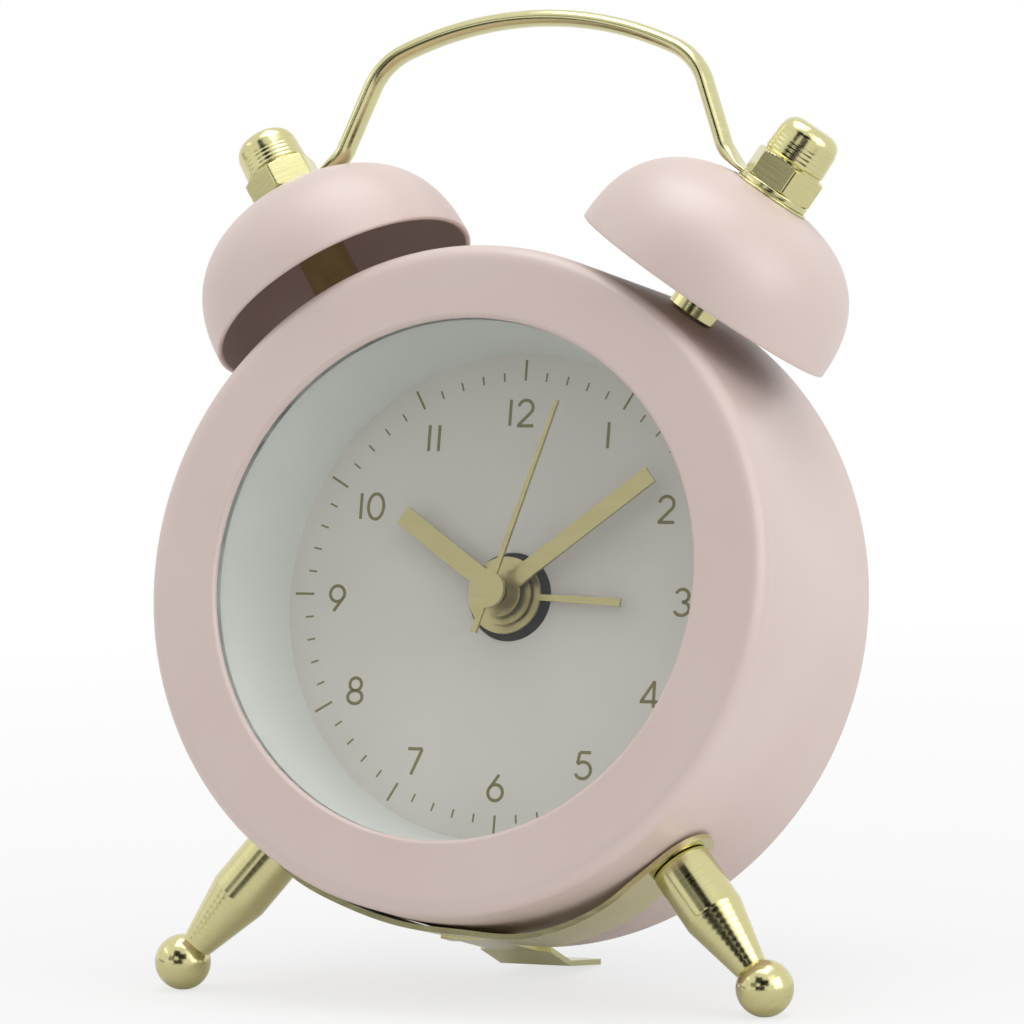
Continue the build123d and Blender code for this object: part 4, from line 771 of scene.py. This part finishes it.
# %% Figures in their cells, and the numbers at their spots
figures = {
    "0": [arc(0, 0.5, 0.33, 0.5, 90, 450)],
    "1": [bar((0.0, 1.02), (0.0, 0.0))],
    "2": [np.concatenate((arc(0, 0.71, 0.30, 0.29, 170, -32), bar((0.26, 0.56), (-0.30, 0.0)))),
          bar((-0.33, 0.0), (0.36, 0.0))],
    "3": [arc(-0.02, 0.75, 0.27, 0.25, 160, -90), arc(-0.02, 0.26, 0.31, 0.26, 90, -160)],
    "4": [bar((0.14, 0.0), (0.14, 1.02)), bar((0.14, 1.0), (-0.38, 0.22)),
          bar((-0.42, 0.22), (0.36, 0.22))],
    "5": [bar((0.28, 1.0), (-0.18, 1.0)), bar((-0.18, 1.0), (-0.26, 0.56)),
          arc(-0.02, 0.32, 0.33, 0.32, 136, -155)],
    "6": [arc(0, 0.31, 0.31, 0.31, 90, 450), bar((-0.27, 0.44), (0.12, 1.0))],
    "7": [bar((-0.30, 1.0), (0.32, 1.0)), bar((0.30, 0.99), (-0.12, 0.0))],
    "8": [arc(0, 0.75, 0.25, 0.25, 90, 450), arc(0, 0.25, 0.31, 0.26, 90, 450)],
    "9": [arc(0, 0.69, 0.31, 0.31, 90, 450), bar((0.27, 0.56), (-0.12, 0.0))],
}
numeral_height, narrow_cell, wide_cell = 2.35, 0.42, 0.86
numeral_places = {
    "12": (-0.26, 16.82), "1": (8.58, 14.79), "2": (14.76, 8.12), "3": (16.93, -0.24),
    "4": (14.44, -8.55), "5": (8.39, -15.08), "6": (-0.12, -17.30), "7": (-8.39, -15.17),
    "8": (-14.88, -8.83), "9": (-17.42, -0.40), "10": (-14.65, 8.14), "11": (-8.76, 14.46),
}


def numeral(word, x, high):
    """The strokes of one number: its figures side by side, centred on (x, high)."""
    widths = np.array([narrow_cell if figure == "1" else wide_cell for figure in word])
    starts = np.cumsum(widths) - widths / 2 - widths.sum() / 2
    foot = np.array((x, high - numeral_height / 2))
    return [ribbon(foot + (part + (start, 0)) * numeral_height, stroke)
            for figure, start in zip(word, starts) for part in figures[figure]]


strokes = [one for word, spot in numeral_places.items() for one in numeral(word, *spot)]
numerals = make_piece(
    "dial_numerals", [(*one, 0) for one in strokes], [dial_ink], "clock")

# %% [markdown]
# ### The minute ticks
# Round the numbers stand sixty ticks, and every fifth is longer and a little wider. A texture
# could print them, but real bands of ink stay sharp at any distance.

# %% Minute ticks
tick_foot, short_tick, long_tick, short_width, long_width = 19.8, 0.8, 1.9, 0.17, 0.22


def tick(minute):
    """A short radial band, longer at every fifth minute."""
    outward = spoke(6.0 * minute)[:2]
    long = minute % 5 == 0
    length = long_tick if long else short_tick
    levels = np.linspace(tick_foot, tick_foot + length, 3)[:, None]
    return ribbon(levels * outward, long_width if long else short_width)


ticks = make_piece("dial_ticks", [(*tick(minute), 0) for minute in range(60)], [dial_ink], "clock")

# %% [markdown]
# ## A finish for every piece that stays
# The other pieces keep their exact solids. Each gets the finish that its material has on the
# real clock, also where it is hidden inside, because the part can be taken to pieces.

# %% Finishes of the solids
finish_of = {
    polished_brass: ("leg_strip",),
    hand_brass: ("alarm_hand", "hour_hand", "minute_hand", "second_hand"),
    glass: ("lens",),
    ring_moulding: ("dial_ring",),
    dial_card: ("dial_plate",),
    cover_moulding: ("back_cover", "battery_door"),
    knob_moulding: ("time_set_knob", "alarm_set_knob", "alarm_switch", "coil_bobbin"),
    black_moulding: ("movement_front_plate", "movement_middle_plate", "movement_rear_case",
                     "buzzer"),
    gear_moulding: ("motion_wheel", "centre_wheel", "third_wheel", "intermediate_wheel",
                    "time_set_arbor", "alarm_set_arbor"),
    piped_gear: ("hour_wheel", "minute_arbor", "alarm_wheel", "second_wheel"),
    steel: ("post_screws", "leg_screws", "movement_screws", "dial_screws", "back_screws", "stator",
            "coil_core", "quartz_crystal", "alarm_contact_spring", "button_cell",
            "cell_contact_plus", "cell_contact_minus"),
    magnet: ("rotor",),
    copper: ("coil_winding",),
    board_resin: ("circuit_board",),
    chip_resin: ("clock_chip",),
}
for finish, names in finish_of.items():
    for name in names:
        solid = nodes[name]
        if not solid.material_slots:
            solid.data.materials.append(finish)
        for slot in solid.material_slots:
            slot.material = finish
print("solids with a finish:", sum(len(names) for names in finish_of.values()))

# %% [markdown]
# ## The floor
# The clock stands on white. A floor that is simply brightened would light the object from below
# and wash it out, so only rays from the camera, mirrors and glass see it as white. Close to the
# clock those rays see some of the matt floor as well, mirrors nearly all of it, and with it the
# clock's shadow.

# %% White floor that keeps the shadow
floor_half, floor_grey, fade_start, fade_end = 1.5, 0.86, 0.06, 0.30
near_shares = {"Is Camera Ray": 0.70, "Is Glossy Ray": 0.12, "Is Transmission Ray": 0.70}


def largest(tree, shares):
    """The largest of several outputs, taken two at a time."""
    best = shares[0]
    for share in shares[1:]:
        pick = add(tree, "ShaderNodeMath", operation="MAXIMUM")
        tree.links.new(best, pick.inputs[0])
        tree.links.new(share, pick.inputs[1])
        best = pick.outputs[0]
    return best


def white_floor():
    """A matt floor mixed with plain white light. For each kind of ray, the white share runs from
    its value near the clock to 1 with the distance from the clock, and the largest one counts."""
    finish = bpy.data.materials.new("white floor")
    finish.use_nodes = True
    tree = finish.node_tree
    shader = tree.nodes["Principled BSDF"]
    shader.inputs["Base Color"].default_value = (floor_grey, floor_grey, floor_grey, 1.0)
    shader.inputs["Roughness"].default_value = 0.9
    glow = add(tree, "ShaderNodeEmission", Strength=1.0)
    glow.inputs["Color"].default_value = (1.0, 1.0, 1.0, 1.0)
    kind = add(tree, "ShaderNodeLightPath")
    where = add(tree, "ShaderNodeTexCoord").outputs["Object"]
    reach = add(tree, "ShaderNodeVectorMath", operation="LENGTH")
    tree.links.new(where, reach.inputs[0])
    shares = []
    for rays, near in near_shares.items():
        fade = ramp(tree, reach.outputs["Value"], fade_start, fade_end, near, 1.0)
        part = add(tree, "ShaderNodeMath", operation="MULTIPLY")
        tree.links.new(kind.outputs[rays], part.inputs[0])
        tree.links.new(fade, part.inputs[1])
        shares.append(part.outputs[0])
    show_mixed(tree, largest(tree, shares), shader, glow)
    return finish


floor_edge = np.array((-floor_half, floor_half))
corners = np.stack((*np.meshgrid(floor_edge, floor_edge), np.zeros((2, 2))), -1).reshape(-1, 3)
floor_mesh = bpy.data.meshes.new("floor")
floor_mesh.from_pydata(corners, [], [(0, 1, 3, 2)])
floor_mesh.materials.append(white_floor())
floor = bpy.data.objects.new("floor", floor_mesh)
bpy.context.scene.collection.objects.link(floor)
floor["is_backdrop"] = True
print("floor, m:", np.round(floor.dimensions, 2))

# %% [markdown]
# ### Sky and lamps
# The sky shows as white behind the clock, in its brass and through its glass, but lights the
# clock with about half of that. Three large soft lamps give the rest: one above, a strong one at
# the right and a weak one at the left. Together they reach the level at which a colour shows
# about as it is written.

# %% World and lamps
sky_light = 0.53
world = bpy.data.worlds.new("studio")
bpy.context.scene.world = world
world.use_nodes = True
sky = world.node_tree
sky_kind = add(sky, "ShaderNodeLightPath")
seen = largest(sky, [sky_kind.outputs[rays] for rays in near_shares])
sky.nodes["Background"].inputs["Color"].default_value = (1.0, 1.0, 1.0, 1.0)
sky.links.new(ramp(sky, seen, 0.0, 1.0, sky_light, 1.0), sky.nodes["Background"].inputs["Strength"])


def soft_lamp(name, spot, watts, size, target=(0.0, 0.0, 0.045)):
    """A square lamp at spot that faces the target; its light falls off with distance squared."""
    lamp = bpy.data.lights.new(name, "AREA")
    lamp.energy, lamp.size = watts, size
    holder = bpy.data.objects.new(name, lamp)
    aim = Vector(target) - Vector(spot)
    turned_to = aim.to_track_quat("-Z", "Y").to_matrix().to_4x4()
    holder.matrix_world = Matrix.Translation(Vector(spot)) @ turned_to
    bpy.context.scene.collection.objects.link(holder)


soft_lamp("overhead softbox", (0.0, 0.02, 0.62), 1.5, 0.45)
soft_lamp("left softbox", (-0.60, -0.20, 0.25), 0.35, 0.40)
soft_lamp("right softbox", (0.60, -0.10, 0.25), 0.95, 0.40)
print("lamps:", len(bpy.data.lights))

# %% [markdown]
# ### Cards for the brass
# Polished brass only looks like brass where it mirrors something dark between the bright
# lamps. A photographer hangs cards for that. Here a grey one at the left keeps the white sky
# out of the flat glass and darkens one facet of the right nut, and a second one farther round
# calms the left edges of legs and bells. Black ones round the camera draw the dark line down
# legs and caps, a bright one at the right gives the edge beside it, and a dark cloth in front
# darkens the balls. Only reflections see any of them.

# %% Cards that only reflections see
clock_middle = Vector((0.0, 0.0, 0.04))


def seen_at(azimuth, lift, far=0.92):
    """The spot seen from the clock in a direction given in degrees: azimuth from straight ahead
    towards the right, and lift above the floor."""
    turned, raised = radians(azimuth), radians(lift)
    ahead = far * np.cos(raised)
    return clock_middle + Vector(
        (ahead * np.sin(turned), -ahead * np.cos(turned), far * np.sin(raised)))


def card(name, spot, width, height, glow, target=clock_middle):
    """A flat card at spot that faces the target and shines with the brightness glow: its corners
    lie at ± half the width and the height."""
    finish = bpy.data.materials.new(name)
    finish.use_nodes = True
    shader = finish.node_tree.nodes["Principled BSDF"]
    shader.inputs["Base Color"].default_value = (0.0, 0.0, 0.0, 1.0)
    shader.inputs["Specular IOR Level"].default_value = 0.0
    shader.inputs["Emission Color"].default_value = (1.0, 1.0, 1.0, 1.0)
    shader.inputs["Emission Strength"].default_value = glow
    facing_target = (target - spot).to_track_quat("-Z", "Y").to_matrix().to_4x4()
    reach = np.array([(-1, -1), (1, -1), (1, 1), (-1, 1)]) * (width / 2, height / 2)
    mesh = bpy.data.meshes.new(name)
    mesh.from_pydata(np.hstack((reach, np.zeros((4, 1)))), [], [(0, 1, 2, 3)])
    mesh.transform(Matrix.Translation(spot) @ facing_target)
    mesh.materials.append(finish)
    sheet = bpy.data.objects.new(name, mesh)
    bpy.context.scene.collection.objects.link(sheet)
    sheet.visible_camera = False
    sheet.visible_diffuse = False
    sheet.visible_transmission = False
    sheet.visible_shadow = False
    sheet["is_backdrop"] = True
    print(name, "has a glow of", glow)


card("grey card at the left", seen_at(-24, 17, 0.97), 0.42, 0.26, 0.24)
card("grey card at the far left", seen_at(-72, 12), 0.60, 0.50, 0.30)
card("black card above the camera", seen_at(-4, 38), 0.46, 0.42, 0.01)
card("black card behind the camera", seen_at(23, 27), 0.56, 0.40, 0.01)
card("black card below the camera", seen_at(6, 3), 0.62, 0.34, 0.02)
card("bright card at the right", seen_at(64, 34), 0.50, 0.60, 1.5)
cloth_spot = Vector((0.03, -0.30, 0.002))
card("dark cloth before the clock", cloth_spot, 0.30, 0.46, 0.10, cloth_spot + Vector((0, 0, 1)))

# %% [markdown]
# ## The camera
# The picture was taken from the clock's right front with a long lens, slightly rolled. The
# camera's directions are given on the clock itself, so they follow its lean, and the middle of
# the picture is reached by turning the camera and not by shifting its lens.

# %% Camera at the photograph's angle
picture, sensor_width = 1024, 36.0
focal_pixels, away = 5989.66, 0.52874
side_angle, height_angle, roll = radians(25.767), radians(-6.892), radians(-4.162)
centre_pixel = (448.67, 576.82)


def on_clock(x, deep, high):
    """World direction from its parts to the right, straight back and up the dial."""
    return Vector(x * right + deep * back + high * up)


look_back = on_clock(np.sin(side_angle) * np.cos(height_angle),
                     -np.cos(side_angle) * np.cos(height_angle), np.sin(height_angle))
level = on_clock(np.cos(side_angle), np.sin(side_angle), 0.0)
upright = look_back.cross(level)
to_right = level * np.cos(roll) - upright * np.sin(roll)
to_top = level * np.sin(roll) + upright * np.cos(roll)
eye = Vector(centre) + look_back * away
per_pixel = away / focal_pixels
aim = Vector(centre) + to_right * (picture / 2 - centre_pixel[0]) * per_pixel
aim = aim - to_top * (picture / 2 - centre_pixel[1]) * per_pixel
facing = (eye - aim).normalized()
to_right = (to_right - facing * to_right.dot(facing)).normalized()
to_top = facing.cross(to_right)
lens_data = bpy.data.cameras.new("photograph")
lens_data.sensor_width = sensor_width
lens_data.lens = focal_pixels * sensor_width / picture
camera = bpy.data.objects.new("photograph", lens_data)
aimed = Matrix((to_right, to_top, facing)).transposed().to_4x4()
camera.matrix_world = Matrix.Translation(eye) @ aimed
bpy.context.scene.collection.objects.link(camera)
bpy.context.scene.camera = camera
bpy.context.scene.view_settings.view_transform = "Standard"
print("lens, mm:", round(lens_data.lens, 2))

# %% [markdown]
# ## The two boxes
# Both boxes are printed in millimetres, that of the exact solids and that of the dressed model,
# so that one can see whether the dressed model stays inside the first. The finished model must
# stay inside the box of the exact solids.

# %% Print the two boxes
dressed_box = [list(corner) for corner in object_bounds()]
for title, box in (("solids", cad_box), ("dressed", dressed_box)):
    print(title, "box, mm:", np.round(np.array(box) * 1000, 2).tolist())
